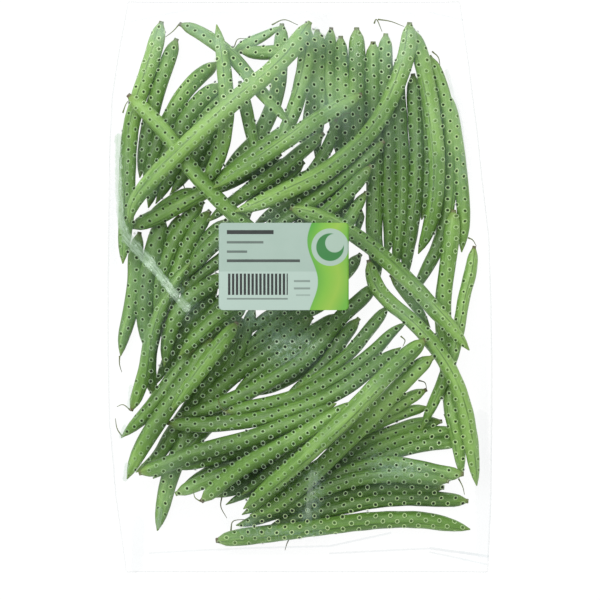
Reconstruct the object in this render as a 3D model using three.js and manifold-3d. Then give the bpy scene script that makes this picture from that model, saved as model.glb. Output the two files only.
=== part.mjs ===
// A flat pack of green beans: loose pods lying in a perforated film bag with a plain sticker on top.
// Millimetres, +Z up. X runs across the bag, Y along it, and the bag lies on z = 0.
import * as THREE from "three";
import { mergeVertices } from "three/addons/utils/BufferGeometryUtils.js";
import Module from "manifold-3d";

// The bag: its edges are read off between these stations, all in the bag's own plan.
const BAG_STATIONS = [-137, -100, -60, -30, 0, 30, 60, 80, 100, 120, 148];
const BAG_LEFT = [-91, -96, -99.5, -100, -100, -100, -99.5, -99, -98, -95, -90];
const BAG_RIGHT = [90, 91.5, 92, 92, 91.5, 90.5, 87, 85, 82.5, 80, 76];
const BAG_SOUTH = BAG_STATIONS[0];
const BAG_NORTH = BAG_STATIONS[BAG_STATIONS.length - 1];
const FILM = 0.7; // wall of the film solid
const GAP = 0.3; // clearance between neighbours
const FLOOR_GAP = 1; // clearance of the pods over the curved lower wall
const SEAL_SOUTH = 8; // depth of the flat seal at the lower end
const SEAL_NORTH = 4; // depth of the flat seal at the upper end
const SEAL_THICK = 1.4; // both walls pressed together
const SIDE_LIFT = 4; // how far the bag's sides curl up off the table
const SIDE_BAND = 14; // width of that curl
const WALL_IN = 2; // from a side or seal to the start of the hollow
const WALL_RISE = 3.4; // from a side or seal to where the upper wall has reached its height
const WALL_SHOULDER = 1.2; // how much sooner the outer face gets there
const CELLS_ACROSS = 16;
const CELLS_ALONG = 25;
const TAUT_ROUNDS = 6; // rounds of drawing the upper wall tight between high spots
const HOLE = 1.6; // side of a perforation
const HOLES_ACROSS = 4;
const HOLES_ALONG = 6;

// The sticker.
const LABEL_WEST = -44;
const LABEL_EAST = 20;
const LABEL_SOUTH = -6;
const LABEL_NORTH = 37;
const LABEL_CORNER = 2;
const LABEL_THICK = 0.6;

// The pods.
const POD_SIDES = 6;
const POD_RINGS = [0, 0.05, 0.2, 0.4, 0.6, 0.8, 0.93, 1]; // share of the length, from the stem
const POD_GIRTH = [0.45, 0.85, 1, 1, 1, 0.93, 0.62, 0.15]; // radius there, as a share of the widest
const POD_BEND = 65; // tightest curve a pod takes up and down, over what lies beneath it
const POD_STEP = 2; // spacing of the samples used to stack pods
const POD_EASE = 3; // samples on each side that the up-and-down curve is eased over
const POD_SINK = 1.4; // how far pods of one bunch press into each other

// Bunches: pods lying side by side on the bag's floor. Each row is a pod: its widest radius,
// then the plan points of its middle line from the stem to the tip.
const BUNCHES = {
  bunch_right: [
    [3.8, 32.5, 128, 32.5, 110, 33, 90, 33, 68, 33, 50, 33, 32, 34, 18, 33, 3],
    [3.7, 38, 132, 37.5, 115, 38.5, 95, 40, 75, 40, 60, 40, 45, 40, 32, 38, 21],
    [3.6, 44, 118, 45, 100, 46, 85, 47, 68, 47, 50, 46, 35, 44.5, 22, 43, 13],
    [3.7, 52, 112, 53, 95, 54, 78, 54, 62, 53, 48, 51, 34, 49, 20, 48.5, 9],
    [3.4, 57, 106, 58.5, 92, 60, 78, 60, 62, 58, 49, 56, 39],
  ],
  bunch_edge: [
    [3.3, 60.5, 121, 65.5, 108, 69.5, 92, 70.5, 75, 70.5, 55, 68.5, 39, 65, 26, 59.5, 15, 55, 7, 51, 1.5],
    [3.2, 67, 99, 70, 88, 72, 76, 73.8, 62, 75.5, 46, 76, 33, 75, 19],
    [2.8, 41, 12.5, 46, 7, 51, 0.5, 56, -6.5, 61, -14],
  ],
  bunch_top: [
    [3.6, 4.5, 134, 5.3, 120, 4, 105, 1.5, 92, -1, 80, -3, 72],
    [3.2, 12, 135, 11, 122, 11, 108, 13, 95, 15, 80, 16, 68],
    [3.6, 17.5, 131, 17.5, 118, 18.5, 104, 20, 90, 21, 76, 20.5, 65],
    [3.9, 24.3, 135, 24.4, 122, 24.5, 108, 24.9, 92, 25.2, 78, 25, 66],
    [2.6, 8, 112, 7.8, 100, 6.8, 88, 5.8, 76, 6, 66],
  ],
  bunch_left_top: [
    [3.5, -65.5, 129.5, -70, 118, -74, 106.5, -78, 92, -81, 77, -84, 60],
    [3.7, -47, 118, -57, 110.5, -65, 101.5, -71, 91, -77, 79, -81, 66, -84, 54],
    [3.8, -43, 107, -52.5, 100, -60, 91, -66, 80, -72, 68, -77, 56, -80, 45],
    [3.6, -46, 94, -52, 84, -58, 74, -64, 64, -69, 55, -74, 46],
    [3.5, -40, 86, -46, 76, -52, 66, -58, 57, -64, 49],
    [3.0, -36, 84, -42, 74.5, -48, 65, -53, 57],
    [2.6, -41, 101, -49, 93, -56, 85, -62, 77],
  ],
  bunch_left: [
    [3.4, -84, 33, -86, 22, -86.5, 8, -89, -8, -92, -20, -93.5, -29],
    [4.2, -75, 40, -78, 30, -80.5, 20, -83.5, 8, -84.5, -4, -84, -16, -83, -27],
    [3.7, -55, 49.5, -62, 42, -68, 33, -73, 22, -77, 10, -78, -3, -78, -16],
    [2.8, -66, 42, -69.5, 34, -72.5, 25, -75, 16],
    [3.8, -50, 44, -58, 33, -64, 20, -68, 7, -71, -6, -74, -20],
    [3.6, -42, 40, -51, 31, -58, 20, -62, 8, -64, -5],
    [3.7, -57, 58, -67, 53, -77, 47, -84, 42],
  ],
  bunch_low_left: [
    [3.6, -33, -10, -38, -22, -45, -33, -52, -44, -60, -56, -68, -68, -76, -80, -86, -87],
    [3.9, 2, -9, -9, -17, -20, -26, -32, -34, -43, -43, -52, -53, -59, -65, -65, -78, -70, -92,
      -73, -105, -75.5, -116],
    [3.9, 10, -17, 1, -26, -9, -33.5, -18, -40, -26, -46, -38, -54, -49, -62, -57, -71, -66, -80,
      -74, -88, -81, -94],
    [3.4, -30, -4, -40, -13, -49, -22, -57, -32, -63, -43, -68, -53],
    [3.5, -40, 8, -48, -2, -56, -11, -63, -21, -68, -31, -73, -42, -79, -52],
    [3.4, -44, 6, -52, -5, -60, -15, -66, -26, -71, -36, -75, -44],
    [3.4, 12, -1, 2, -5.5, -8, -9.5, -18, -15, -27, -22, -33, -28],
    [3.4, 26.5, 22, 19, 13, 10, 6, 2, 1, -7, -3, -17, -8, -25, -13, -31, -19],
    [3.2, 14, -6.5, 6, -12, -2, -18, -12, -25, -21, -32, -30, -39, -39, -47],
    [3.0, 14, -22, 5, -31, -4, -39, -14, -45, -24, -50],
    [3.2, -30, -4, -33, -14, -36, -24, -39.5, -33, -45, -43],
    [3.0, -30, -18, -36, -28, -42, -37, -48, -46],
    [2.4, -14, -17.5, -22, -22.5, -30, -29.5, -36, -35],
  ],
  bunch_low_middle: [
    [3.6, 42, -57, 28, -62, 16, -67, 6, -72.5, -5, -79, -16, -85, -27, -90.5, -38, -96, -46, -99.5],
    [2.7, -9, -83, -18, -88, -27, -92.8, -36, -97, -43, -101],
    [3.4, -8, -72, -18, -77.5, -28, -82, -38, -86.5, -48, -91],
    [3.9, -22, -71, -32, -75.5, -42, -80, -52, -84.5, -64, -90],
  ],
  bunch_centre: [
    [3.6, -8, 70, -19, 62, -31, 54.5, -36, 52.5],
    [3.4, -3, 69, -14, 60.5, -25, 53, -33, 47.5],
    [3.6, 4, 64, -8, 55.5, -20, 48, -29, 43],
    [3.4, 9, 62, -3, 52.5, -15, 44.5, -27, 37],
    [3.6, 14, 59, 2, 49, -10, 41, -22, 34, -29, 30],
    [3.2, 19, 56.5, 8, 47, -3, 38, -14, 30],
    [3.6, 24, 54, 14, 44, 4, 35, -6, 27, -16, 19.5],
    [3.2, -12.5, 70.5, -22, 65, -31, 59.5, -38, 55, -43.5, 51],
    [2.6, 27, 50, 20, 43, 12, 36, 4, 29],
    [3.1, 27, 44.5, 26.5, 38, 25, 30],
  ],
  bunch_low_right: [
    [3.3, 67, -61.5, 55, -63, 42, -67, 28, -72, 14, -79, 0, -87, -13, -95.5, -23, -102.3, -33, -108.2],
    [3.2, 76, -68, 63, -68.5, 49, -71.5, 35, -76.5, 20, -83.5, 6, -91],
    [3.0, 77, -74, 62, -74.5, 48, -77.5, 34, -82.5, 22, -88],
  ],
  bunch_bottom: [
    [3.8, 68, -94.5, 52, -94, 38, -94, 20, -97, 2, -101, -14, -106, -30, -112, -36, -113.5],
    [3.6, 80, -101, 65, -100, 50, -99.5, 32, -101, 14, -104.5, -4, -109, -20, -114],
  ],
};

// Single pods in the order they lie, lowest first, written the same way.
const PODS = [
  [3.8, -13, 137, -13.7, 120, -15, 105, -19, 92, -26, 79, -34, 71, -44, 60],
  [3.2, -34, 108, -31, 95, -28.5, 83, -26, 73, -22, 62],
  [3.4, -14, 37, -30, 28, -44, 18.5, -54, 11, -62, 2.5],
  [3.9, -28, 44, -40, 33, -48, 26, -57, 16.5, -66, 7],
  [4.2, -88.5, 35, -74, 41, -60, 48.5, -46, 56.5, -33, 66, -20, 77, -8, 87],
  [3.6, 8, 82, -3, 73, -15, 63, -27, 55, -40, 46, -50, 38],
  [3.6, 38, 78, 28, 68.5, 15, 58, 3, 49, -7, 42, -20, 33],
  [3.7, 31.5, 66, 24, 57, 15, 48, 5, 39.5, -6, 30, -18, 20],
  [3.3, 29, 53, 24, 45, 19, 36, 12, 25, 4, 14, -6, 4],
  [3.0, 14, 89, 11, 78, 5, 67, -4, 57, -14, 50],
  [3.2, -38, 121.5, -30, 126.5, -22, 130.5, -13, 135.5],
  [3.6, -34, 122.5, -20, 122, -8, 124, 4, 127],
  [3.6, 25.5, -10, 18, -19, 10, -31, 0, -41, -12, -50],
  [3.3, 40, -4, 31, -15, 21, -27, 9, -37, -6, -45],
  [3.4, -68, -84, -52, -81, -38, -77, -24, -73, -9, -67.5, 6, -62],
  [3.0, 60, -54.5, 50, -56.5, 38, -61, 24, -68, 10, -76],
  [3.5, 59, -45.5, 50, -50, 40, -55.5, 28, -62, 16, -67.5, 3, -72.5, -10, -80, -22, -89, -33, -98],
  [3.6, -66, -97.6, -55, -92.6, -42, -87.6, -28, -83, -14, -78],
  [3.7, 34, 7, 26, -1, 17, -9, 8, -20, 0, -29, -12, -37.5, -25, -44.5, -38, -50.5, -52, -55.5,
    -66, -59],
  [3.5, -41, -57, -30, -54.5, -16, -51.5, -1, -47, 11, -41.5, 21, -35.5, 32, -27, 42, -17, 49, -12],
  [3.8, -70, -62, -55, -63, -40, -62, -25, -60, -10, -56, 5, -51, 19, -44, 30, -36, 38, -30,
    46, -24.5],
  [3.5, -77, -49, -79, -33, -76.5, -18, -72, -4, -66, 8, -58, 18],
  [3.5, -88, -56, -84, -46, -80.5, -34, -78, -20, -74, -8, -68, 4],
  [4.2, -56, -26, -64, -36, -72, -47, -81, -58, -93, -69.5],
  [4.2, -48, -20, -56, -34, -65.5, -48, -75, -62, -83.5, -76, -90, -90],
  [4.0, -40, 12, -48, 7, -57, 1, -65, -8, -69.5, -21, -71.5, -34],
  [4.2, -73, 138, -78, 119, -84, 101, -88, 86, -89.5, 72, -90, 56, -90.3, 40, -91.3, 27, -92, 17],
  [4.0, -0.5, 136, -1, 120, -3.3, 106, -7, 93, -12.5, 80, -20, 68],
  [4.2, 52, 134, 55.5, 123, 58.5, 110, 61, 96, 63, 80, 64, 64, 63, 48, 60, 34, 55, 22],
  [4.0, 72.5, 44, 71.5, 32, 69.5, 16, 67.5, 0, 67.5, -14, 69, -28, 70.5, -43, 72, -58, 75, -74, 76.5, -89],
  [3.2, 83, 26, 81, 13, 77.7, 0, 75.5, -12, 72.5, -26, 67.5, -40, 61.5, -54, 56, -66],
  [3.8, 77.5, -87.5, 66, -87, 54, -84.5, 40, -82.5, 25, -85, 10, -90, -4, -97],
  [3.6, 70, -91, 56, -89, 42, -88, 26, -89.5, 10, -94, -6, -101, -22, -108],
  [4.4, -46, -121, -28, -118.5, -10, -116.2, 10, -113.5, 27, -111.5, 42, -110.5, 57, -110.8,
    70, -113, 81, -115.5],
  [4.0, -84, -87, -71, -83, -58, -77.5, -44, -73.5, -29, -69.5, -14, -64, 1, -58.5, 14, -52],
  [4.2, -26, 3, -36, -4, -44, -9, -54, -18, -64, -29],
  [3.5, -64, 136.5, -55, 132.5, -46.5, 127, -38.5, 120.5, -31, 112, -25, 104, -17, 95, -9, 86],
  [3.8, -52, 56, -46, 66, -42.5, 76, -40.5, 88, -40.5, 100, -41.5, 112, -43, 123, -45.3, 135.5],
  [3.8, -89.5, 101, -80, 92, -70, 81, -61, 68, -50, 54.5, -38, 42.5, -26, 32, -12, 22],
  [3.9, 26.5, 101, 15, 94.5, 3, 87, -10, 78, -22, 70, -35, 62, -47, 54],
  [3.9, 30, 19, 34, 6, 41, -2.5, 49, -9, 57, -17, 65, -27, 72.5, -40, 77.5, -54, 80.5, -69, 82.5, -83,
    84, -93.5],
  [4.1, -9, 44.5, 1, 41.5, 11, 38, 21, 32.5, 31, 25.5, 41, 17, 52.5, 6, 63, -6, 72, -16, 80, -26],
  [4.1, -35, -12, -46, -26, -57, -41, -68, -56],
  [3.9, -53, -101, -42, -91, -30, -82, -17, -75, -4, -68, 9, -60, 22, -51],
  [4.0, 62, -29, 55, -34, 46, -43, 37.5, -52, 28, -62, 17, -73, 5, -85, -7, -96, -18, -104, -29, -108],
  [4.4, 58, -20.5, 48, -29, 38, -38.5, 29, -48, 19, -58.5, 8, -69, -4, -80, -15, -89.5, -24, -97.5,
    -32, -104.5],
  [4.5, 1, 136.5, -3, 130, -10, 120.5, -20, 110.5, -30, 102.5, -41, 93, -53, 82, -65, 70.5,
    -77, 58.5, -86, 46.5, -88.5, 37],
  [4.4, 50.5, 137, 49.5, 124, 45.5, 110, 40, 97, 32, 84, 20.5, 72, 6.5, 61.5, -10, 53.5, -25, 46.5,
    -36.5, 42.5],
];

const wasm = await Module();
wasm.setup();

const lerp = THREE.MathUtils.lerp;

// The value at x of a line through the points (xs, ys), with xs rising.
function follow(xs, ys, x) {
  const last = xs.length - 1;
  if (x <= xs[0]) return ys[0];
  if (x >= xs[last]) return ys[last];
  const k = xs.findIndex((edge) => edge > x);
  return lerp(ys[k - 1], ys[k], (x - xs[k - 1]) / (xs[k] - xs[k - 1]));
}

const leftEdge = (y) => follow(BAG_STATIONS, BAG_LEFT, y);
const rightEdge = (y) => follow(BAG_STATIONS, BAG_RIGHT, y);

// Height of the bag's underside: flat on the table, curling up towards both sides.
function underside(x, y) {
  const inside = Math.min(x - leftEdge(y), rightEdge(y) - x);
  const curl = THREE.MathUtils.clamp(1 - inside / SIDE_BAND, 0, 1);
  return SIDE_LIFT * curl * curl;
}

// Distance in plan along a line of points, at each of them.
function lengths(points) {
  const along = [0];
  for (let k = 1; k < points.length; k += 1) {
    const step = points[k].clone().sub(points[k - 1]);
    along.push(along[k - 1] + Math.hypot(step.x, step.y));
  }
  return along;
}

// A pod's plan: the ring centres on a smooth curve through its listed points.
function planOf(row) {
  const points = [];
  for (let k = 1; k < row.length; k += 2) points.push(new THREE.Vector3(row[k], row[k + 1], 0));
  const curve = new THREE.CatmullRomCurve3(points, false, "centripetal");
  return { girth: row[0], rings: POD_RINGS.map((share) => curve.getPointAt(share)) };
}

// Samples every POD_STEP along the straight runs between rings: place, radius and share of the length.
function samplesOf(pod) {
  const along = lengths(pod.rings);
  const total = along[along.length - 1];
  const count = Math.round(total / POD_STEP);
  const heights = pod.rings.map((ring) => ring.z);
  const eastings = pod.rings.map((ring) => ring.x);
  const northings = pod.rings.map((ring) => ring.y);
  const radii = POD_GIRTH.map((share) => share * pod.girth);
  return Array.from({ length: count + 1 }, (_, k) => {
    const s = (total * k) / count;
    return {
      s,
      x: follow(along, eastings, s),
      y: follow(along, northings, s),
      z: follow(along, heights, s),
      r: follow(along, radii, s),
    };
  });
}

// Lowest height of a sample's centre that clears the bag's floor and the samples already laid.
function clearHeight(sample, laid) {
  let height = underside(sample.x, sample.y) + FILM + FLOOR_GAP + sample.r;
  for (const other of laid) {
    const reach = sample.r + other.r + GAP;
    const apart = Math.hypot(sample.x - other.x, sample.y - other.y);
    if (apart < reach) {
      height = Math.max(height, other.z + Math.sqrt(reach * reach - apart * apart));
    }
  }
  return height;
}

// Lays a pod on what is under it. It may not bend down faster than a curve of radius POD_BEND,
// so it bridges from one high spot to the next, and it is then lowered until it touches.
function layPod(pod, laid) {
  const samples = samplesOf(pod);
  const needed = samples.map((sample) => clearHeight(sample, laid));
  const draped = samples.map((sample) =>
    Math.max(...needed.map((h, k) => h - (samples[k].s - sample.s) ** 2 / (2 * POD_BEND))));
  const eased = draped.map((_, k) => {
    const near = draped.slice(Math.max(0, k - POD_EASE), k + POD_EASE + 1);
    return near.reduce((sum, h) => sum + h, 0) / near.length;
  });
  const along = samples.map((sample) => sample.s);
  const ringAt = lengths(pod.rings);
  pod.rings.forEach((ring, k) => {
    ring.z = follow(along, eased, ringAt[k]);
  });
  const lift = Math.max(...samplesOf(pod).map((sample, k) => needed[k] - sample.z));
  for (const ring of pod.rings) ring.z += lift;
  laid.push(...samplesOf(pod));
}

// Slides each pod of a bunch sideways, in plan, until it presses into the nearest one before it.
function pressTogether(pods) {
  const placed = samplesOf(pods[0]);
  for (const pod of pods.slice(1)) {
    let best = { depth: Infinity, shift: new THREE.Vector2() };
    for (const a of samplesOf(pod)) {
      for (const b of placed) {
        const away = new THREE.Vector2(b.x - a.x, b.y - a.y);
        const depth = away.length() - a.r - b.r + POD_SINK;
        if (depth < best.depth) best = { depth, shift: away.setLength(depth) };
      }
    }
    for (const ring of pod.rings) {
      ring.x += best.shift.x;
      ring.y += best.shift.y;
    }
    placed.push(...samplesOf(pod));
  }
}

// A closed tube of POD_SIDES sides through the rings of a pod, with flat ends.
function podGeometry(pod) {
  const positions = [];
  const faces = [];
  const count = pod.rings.length;
  pod.rings.forEach((centre, k) => {
    const ahead = pod.rings[Math.min(k + 1, count - 1)].clone();
    const along = ahead.sub(pod.rings[Math.max(k - 1, 0)]).normalize();
    const side = new THREE.Vector3(0, 0, 1).cross(along).normalize();
    const up = along.clone().cross(side);
    const radius = POD_GIRTH[k] * pod.girth;
    for (let n = 0; n < POD_SIDES; n += 1) {
      const turn = (2 * Math.PI * n) / POD_SIDES;
      const point = centre.clone()
        .addScaledVector(side, radius * Math.cos(turn))
        .addScaledVector(up, radius * Math.sin(turn));
      positions.push(point.x, point.y, point.z);
    }
  });
  for (let k = 0; k + 1 < count; k += 1) {
    for (let n = 0; n < POD_SIDES; n += 1) {
      const a = k * POD_SIDES + n;
      const b = k * POD_SIDES + ((n + 1) % POD_SIDES);
      faces.push(a, b, b + POD_SIDES, a, b + POD_SIDES, a + POD_SIDES);
    }
  }
  const last = (count - 1) * POD_SIDES;
  for (let n = 1; n + 1 < POD_SIDES; n += 1) {
    faces.push(0, n + 1, n, last, last + n, last + n + 1);
  }
  return indexed(positions, faces);
}

function indexed(positions, faces) {
  const geometry = new THREE.BufferGeometry();
  geometry.setAttribute("position", new THREE.Float32BufferAttribute(positions, 3));
  geometry.setIndex(faces);
  return geometry;
}

function toManifold(geometry) {
  const merged = mergeVertices(geometry, 1e-4);
  return new wasm.Manifold(new wasm.Mesh({
    numProp: 3,
    vertProperties: new Float32Array(merged.attributes.position.array),
    triVerts: new Uint32Array(merged.index.array),
  }));
}

// Joins the pods of a bunch into one body.
function bunchGeometry(pods) {
  let body = toManifold(podGeometry(pods[0]));
  for (const pod of pods.slice(1)) body = body.add(toManifold(podGeometry(pod)));
  const mesh = body.getMesh();
  return indexed(Array.from(mesh.vertProperties), Array.from(mesh.triVerts));
}

// Lines of the bag's grid along one direction, from low to high: the two end cells make the wall
// between the seam and the full height, and the cells between are even. The outer face rises
// WALL_SHOULDER sooner than the hollow does.
function gridLines(low, high, cells, outer) {
  const start = low + WALL_RISE;
  const end = high - WALL_RISE;
  const lines = Array.from({ length: cells + 1 }, (_, k) => lerp(start, end, k / cells));
  if (!outer) return [low + WALL_IN, ...lines, high - WALL_IN];
  lines[0] -= WALL_SHOULDER;
  lines[cells] += WALL_SHOULDER;
  return [low, ...lines, high];
}

const ROWS_LOW = BAG_SOUTH + SEAL_SOUTH;
const ROWS_HIGH = BAG_NORTH - SEAL_NORTH;
const cellAt = (value, low, high, cells) =>
  ((value - low - WALL_RISE) / (high - low - 2 * WALL_RISE)) * cells;

// Heights drawn tight: each becomes the mean of its neighbours where that is higher, round by round.
function drawTight(heights) {
  let table = heights;
  for (let round = 0; round < TAUT_ROUNDS; round += 1) {
    const from = table;
    table = from.map((line, i) => line.map((height, j) => {
      const beside = (from[i - 1] ?? line)[j] + (from[i + 1] ?? line)[j];
      return Math.max(height, (beside + (line[j - 1] ?? height) + (line[j + 1] ?? height)) / 4);
    }));
  }
  return table;
}

// Heights of the hollow's roof at the even grid lines: every corner of a cell that a pod passes
// under is above that pod, the film is drawn tight between, and the cells under the sticker are level.
function roofHeights(laid) {
  let roof = Array.from({ length: CELLS_ACROSS + 1 }, () => new Array(CELLS_ALONG + 1).fill(0));
  const raise = (west, east, south, north, height) => {
    const y = (south + north) / 2;
    const across = (x) => cellAt(x, leftEdge(y), rightEdge(y), CELLS_ACROSS);
    const along = (at) => cellAt(at, ROWS_LOW, ROWS_HIGH, CELLS_ALONG);
    const toIndex = (value, most) => THREE.MathUtils.clamp(value, 0, most);
    const last = toIndex(Math.ceil(across(east)), CELLS_ACROSS);
    const top = toIndex(Math.ceil(along(north)), CELLS_ALONG);
    let highest = 0;
    for (let i = toIndex(Math.floor(across(west)), CELLS_ACROSS); i <= last; i += 1) {
      for (let j = toIndex(Math.floor(along(south)), CELLS_ALONG); j <= top; j += 1) {
        roof[i][j] = Math.max(roof[i][j], height);
        highest = Math.max(highest, roof[i][j]);
      }
    }
    return highest;
  };
  raise(leftEdge(0), rightEdge(0), BAG_SOUTH, BAG_NORTH, SIDE_LIFT + FILM + 2 * GAP);
  for (const pod of laid) {
    const reach = pod.r + 2 * GAP;
    raise(pod.x - reach, pod.x + reach, pod.y - reach, pod.y + reach, pod.z + pod.r + GAP);
  }
  roof = drawTight(roof);
  const level = raise(LABEL_WEST, LABEL_EAST, LABEL_SOUTH, LABEL_NORTH, 0);
  raise(LABEL_WEST, LABEL_EAST, LABEL_SOUTH, LABEL_NORTH, level);
  return { roof, level };
}

// The bag: an outer skin and the hollow inside it, joined by small square perforations.
function bagGeometry(roof) {
  const positions = [];
  const faces = [];
  const vertex = (x, y, z) => positions.push(x, y, z) / 3 - 1;
  const quad = (a, b, c, d) => faces.push(a, b, c, a, c, d);
  const grid = (rows, outer, heightAt) => rows.map((y, j) =>
    gridLines(leftEdge(y), rightEdge(y), CELLS_ACROSS, outer).map((x, i) =>
      vertex(x, y, heightAt(x, y, i - 1, j))));

  const hollowRows = gridLines(ROWS_LOW, ROWS_HIGH, CELLS_ALONG, false);
  const skinRows = [BAG_SOUTH, ...gridLines(ROWS_LOW, ROWS_HIGH, CELLS_ALONG, true), BAG_NORTH];
  const roofAt = (i, j) => roof[i]?.[j];
  const skinTop = grid(skinRows, true, (x, y, i, j) =>
    (roofAt(i, j - 2) ?? underside(x, y) + SEAL_THICK - FILM) + FILM);
  const skinLow = grid(skinRows, true, underside);
  const hollowLow = grid(hollowRows, false, (x, y) => underside(x, y) + FILM);
  const hollowTop = hollowLow.map((line, j) => line.map((shared, i) => {
    const height = roofAt(i - 1, j - 1);
    if (height === undefined) return shared;
    return vertex(positions[3 * shared], positions[3 * shared + 1], height);
  }));

  // A perforation at the middle of each cell of an even pattern that the sticker doesn't cover.
  const pierced = new Set();
  for (let m = 0; m < HOLES_ACROSS; m += 1) {
    for (let n = 0; n < HOLES_ALONG; n += 1) {
      const i = 1 + Math.round(((m + 0.5) * CELLS_ACROSS) / HOLES_ACROSS);
      const j = 1 + Math.round(((n + 0.5) * CELLS_ALONG) / HOLES_ALONG);
      pierced.add(`${i} ${j}`);
    }
  }
  const corner = (k) => new THREE.Vector3().fromArray(positions, 3 * k);
  const pierce = (cell) => {
    const [a, b, c, d] = cell.map(corner);
    const width = HOLE / a.distanceTo(b);
    const height = HOLE / a.distanceTo(d);
    const at = (u, v) => {
      const p = a.clone().lerp(b, u).lerp(d.clone().lerp(c, u), v);
      return vertex(p.x, p.y, p.z);
    };
    const [u0, u1, v0, v1] = [0.5 - width / 2, 0.5 + width / 2, 0.5 - height / 2, 0.5 + height / 2];
    return [at(u0, v0), at(u1, v0), at(u1, v1), at(u0, v1)];
  };
  const isCovered = (cell) => {
    const p = corner(cell[0]);
    const q = corner(cell[2]);
    return q.x > LABEL_WEST && p.x < LABEL_EAST && q.y > LABEL_SOUTH && p.y < LABEL_NORTH;
  };

  // Lays the faces of a grid, turned to face up or down, and returns the corners of its holes.
  const sheet = (lines, faceUp, rowOffset, underLabel) => {
    const holes = [];
    for (let j = 0; j + 1 < lines.length; j += 1) {
      for (let i = 0; i + 1 < lines[j].length; i += 1) {
        const cell = [lines[j][i], lines[j][i + 1], lines[j + 1][i + 1], lines[j + 1][i]];
        const face = (a, b, c, d) => (faceUp ? quad(a, b, c, d) : quad(d, c, b, a));
        const isHole = pierced.has(`${i} ${j - rowOffset}`);
        if (isHole && !(underLabel && isCovered(cell))) {
          const hole = pierce(cell);
          for (let k = 0; k < 4; k += 1) {
            const next = (k + 1) % 4;
            face(cell[k], cell[next], hole[next], hole[k]);
          }
          holes.push(hole);
        } else {
          face(...cell);
        }
      }
    }
    return holes;
  };
  const bridge = (upper, lower) => upper.forEach((hole, k) => {
    for (let n = 0; n < 4; n += 1) {
      const next = (n + 1) % 4;
      quad(hole[n], hole[next], lower[k][next], lower[k][n]);
    }
  });
  bridge(sheet(skinTop, true, 1, true), sheet(hollowTop, false, 0, true));
  bridge(sheet(hollowLow, true, 0, false), sheet(skinLow, false, 1, false));

  const rim = (lines) => {
    const last = lines.length - 1;
    const east = lines.map((line) => line[line.length - 1]);
    const west = lines.map((line) => line[0]);
    return [...lines[0], ...east.slice(1), ...lines[last].slice(0, -1).reverse(),
      ...west.slice(1, -1).reverse()];
  };
  const upperRim = rim(skinTop);
  const lowerRim = rim(skinLow);
  upperRim.forEach((start, k) => {
    const next = (k + 1) % upperRim.length;
    quad(upperRim[next], start, lowerRim[k], lowerRim[next]);
  });
  return indexed(positions, faces);
}

// The sticker: a flat card with rounded corners.
function labelGeometry() {
  const c = LABEL_CORNER;
  const shape = new THREE.Shape();
  shape.absarc(LABEL_EAST - c, LABEL_NORTH - c, c, 0, Math.PI / 2);
  shape.absarc(LABEL_WEST + c, LABEL_NORTH - c, c, Math.PI / 2, Math.PI);
  shape.absarc(LABEL_WEST + c, LABEL_SOUTH + c, c, Math.PI, 1.5 * Math.PI);
  shape.absarc(LABEL_EAST - c, LABEL_SOUTH + c, c, 1.5 * Math.PI, 2 * Math.PI);
  return new THREE.ExtrudeGeometry(shape, { depth: LABEL_THICK, bevelEnabled: false, curveSegments: 3 });
}

const podSkin = new THREE.MeshStandardMaterial({ color: 0x5e8f35, roughness: 0.5 });
const filmSkin = new THREE.MeshStandardMaterial({
  color: 0xf2f5f4, roughness: 0.15, transparent: true, opacity: 0.25,
});
const labelSkin = new THREE.MeshStandardMaterial({ color: 0xdfe9e2, roughness: 0.35 });

const part = new THREE.Group();
const bag = new THREE.Group(); // everything in the bag's own plan
part.add(bag);

function addPiece(name, geometry, material) {
  const mesh = new THREE.Mesh(geometry, material);
  mesh.name = name;
  bag.add(mesh);
  return mesh;
}

const laid = [];
for (const [name, rows] of Object.entries(BUNCHES)) {
  const pods = rows.map(planOf);
  pressTogether(pods);
  const floor = [];
  for (const pod of pods) {
    layPod(pod, []);
    floor.push(...samplesOf(pod));
  }
  laid.push(...floor);
  addPiece(name, bunchGeometry(pods), podSkin);
}
PODS.forEach((row, k) => {
  const pod = planOf(row);
  layPod(pod, laid);
  addPiece(`pod_${String(k + 1).padStart(2, "0")}`, podGeometry(pod), podSkin);
});

const { roof, level } = roofHeights(laid);
addPiece("bag_film", bagGeometry(roof), filmSkin);
addPiece("label", labelGeometry(), labelSkin).position.z = level + FILM + GAP;

// The origin is the middle of the bag's plan, on the table.
bag.position.x = -(Math.min(...BAG_LEFT) + Math.max(...BAG_RIGHT)) / 2;
bag.position.y = -(BAG_SOUTH + BAG_NORTH) / 2;

export default part;
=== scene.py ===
"""Looks for a flat pack of green beans: loose pods in a clear perforated bag with a plain sticker.

Sizes in the lists are millimetres in the bag's own plan, X across the bag and Y along it. Meshes are
made in millimetres and turned into metres as the last step.
"""

import math

import bpy
import numpy as np
from bpy.props import FloatProperty, FloatVectorProperty, PointerProperty
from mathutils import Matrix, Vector


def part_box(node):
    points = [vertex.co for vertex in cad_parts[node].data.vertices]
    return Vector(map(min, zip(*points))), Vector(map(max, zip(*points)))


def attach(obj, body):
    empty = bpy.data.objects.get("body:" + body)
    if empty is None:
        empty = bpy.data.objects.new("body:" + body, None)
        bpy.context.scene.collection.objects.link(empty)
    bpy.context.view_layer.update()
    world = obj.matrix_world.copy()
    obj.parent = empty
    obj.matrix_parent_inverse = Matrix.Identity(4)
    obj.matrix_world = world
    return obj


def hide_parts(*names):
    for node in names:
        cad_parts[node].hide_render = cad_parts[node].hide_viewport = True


bl_info = {
    "name": "Green bean pack",
    "version": (1, 0, 0),
    "blender": (4, 5, 0),
    "location": "3D View > Sidebar > Bean Pack",
    "description": "Builds the pods, the bag, the sticker and the stage of a pack of green beans",
    "category": "Add Mesh",
}

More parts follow.
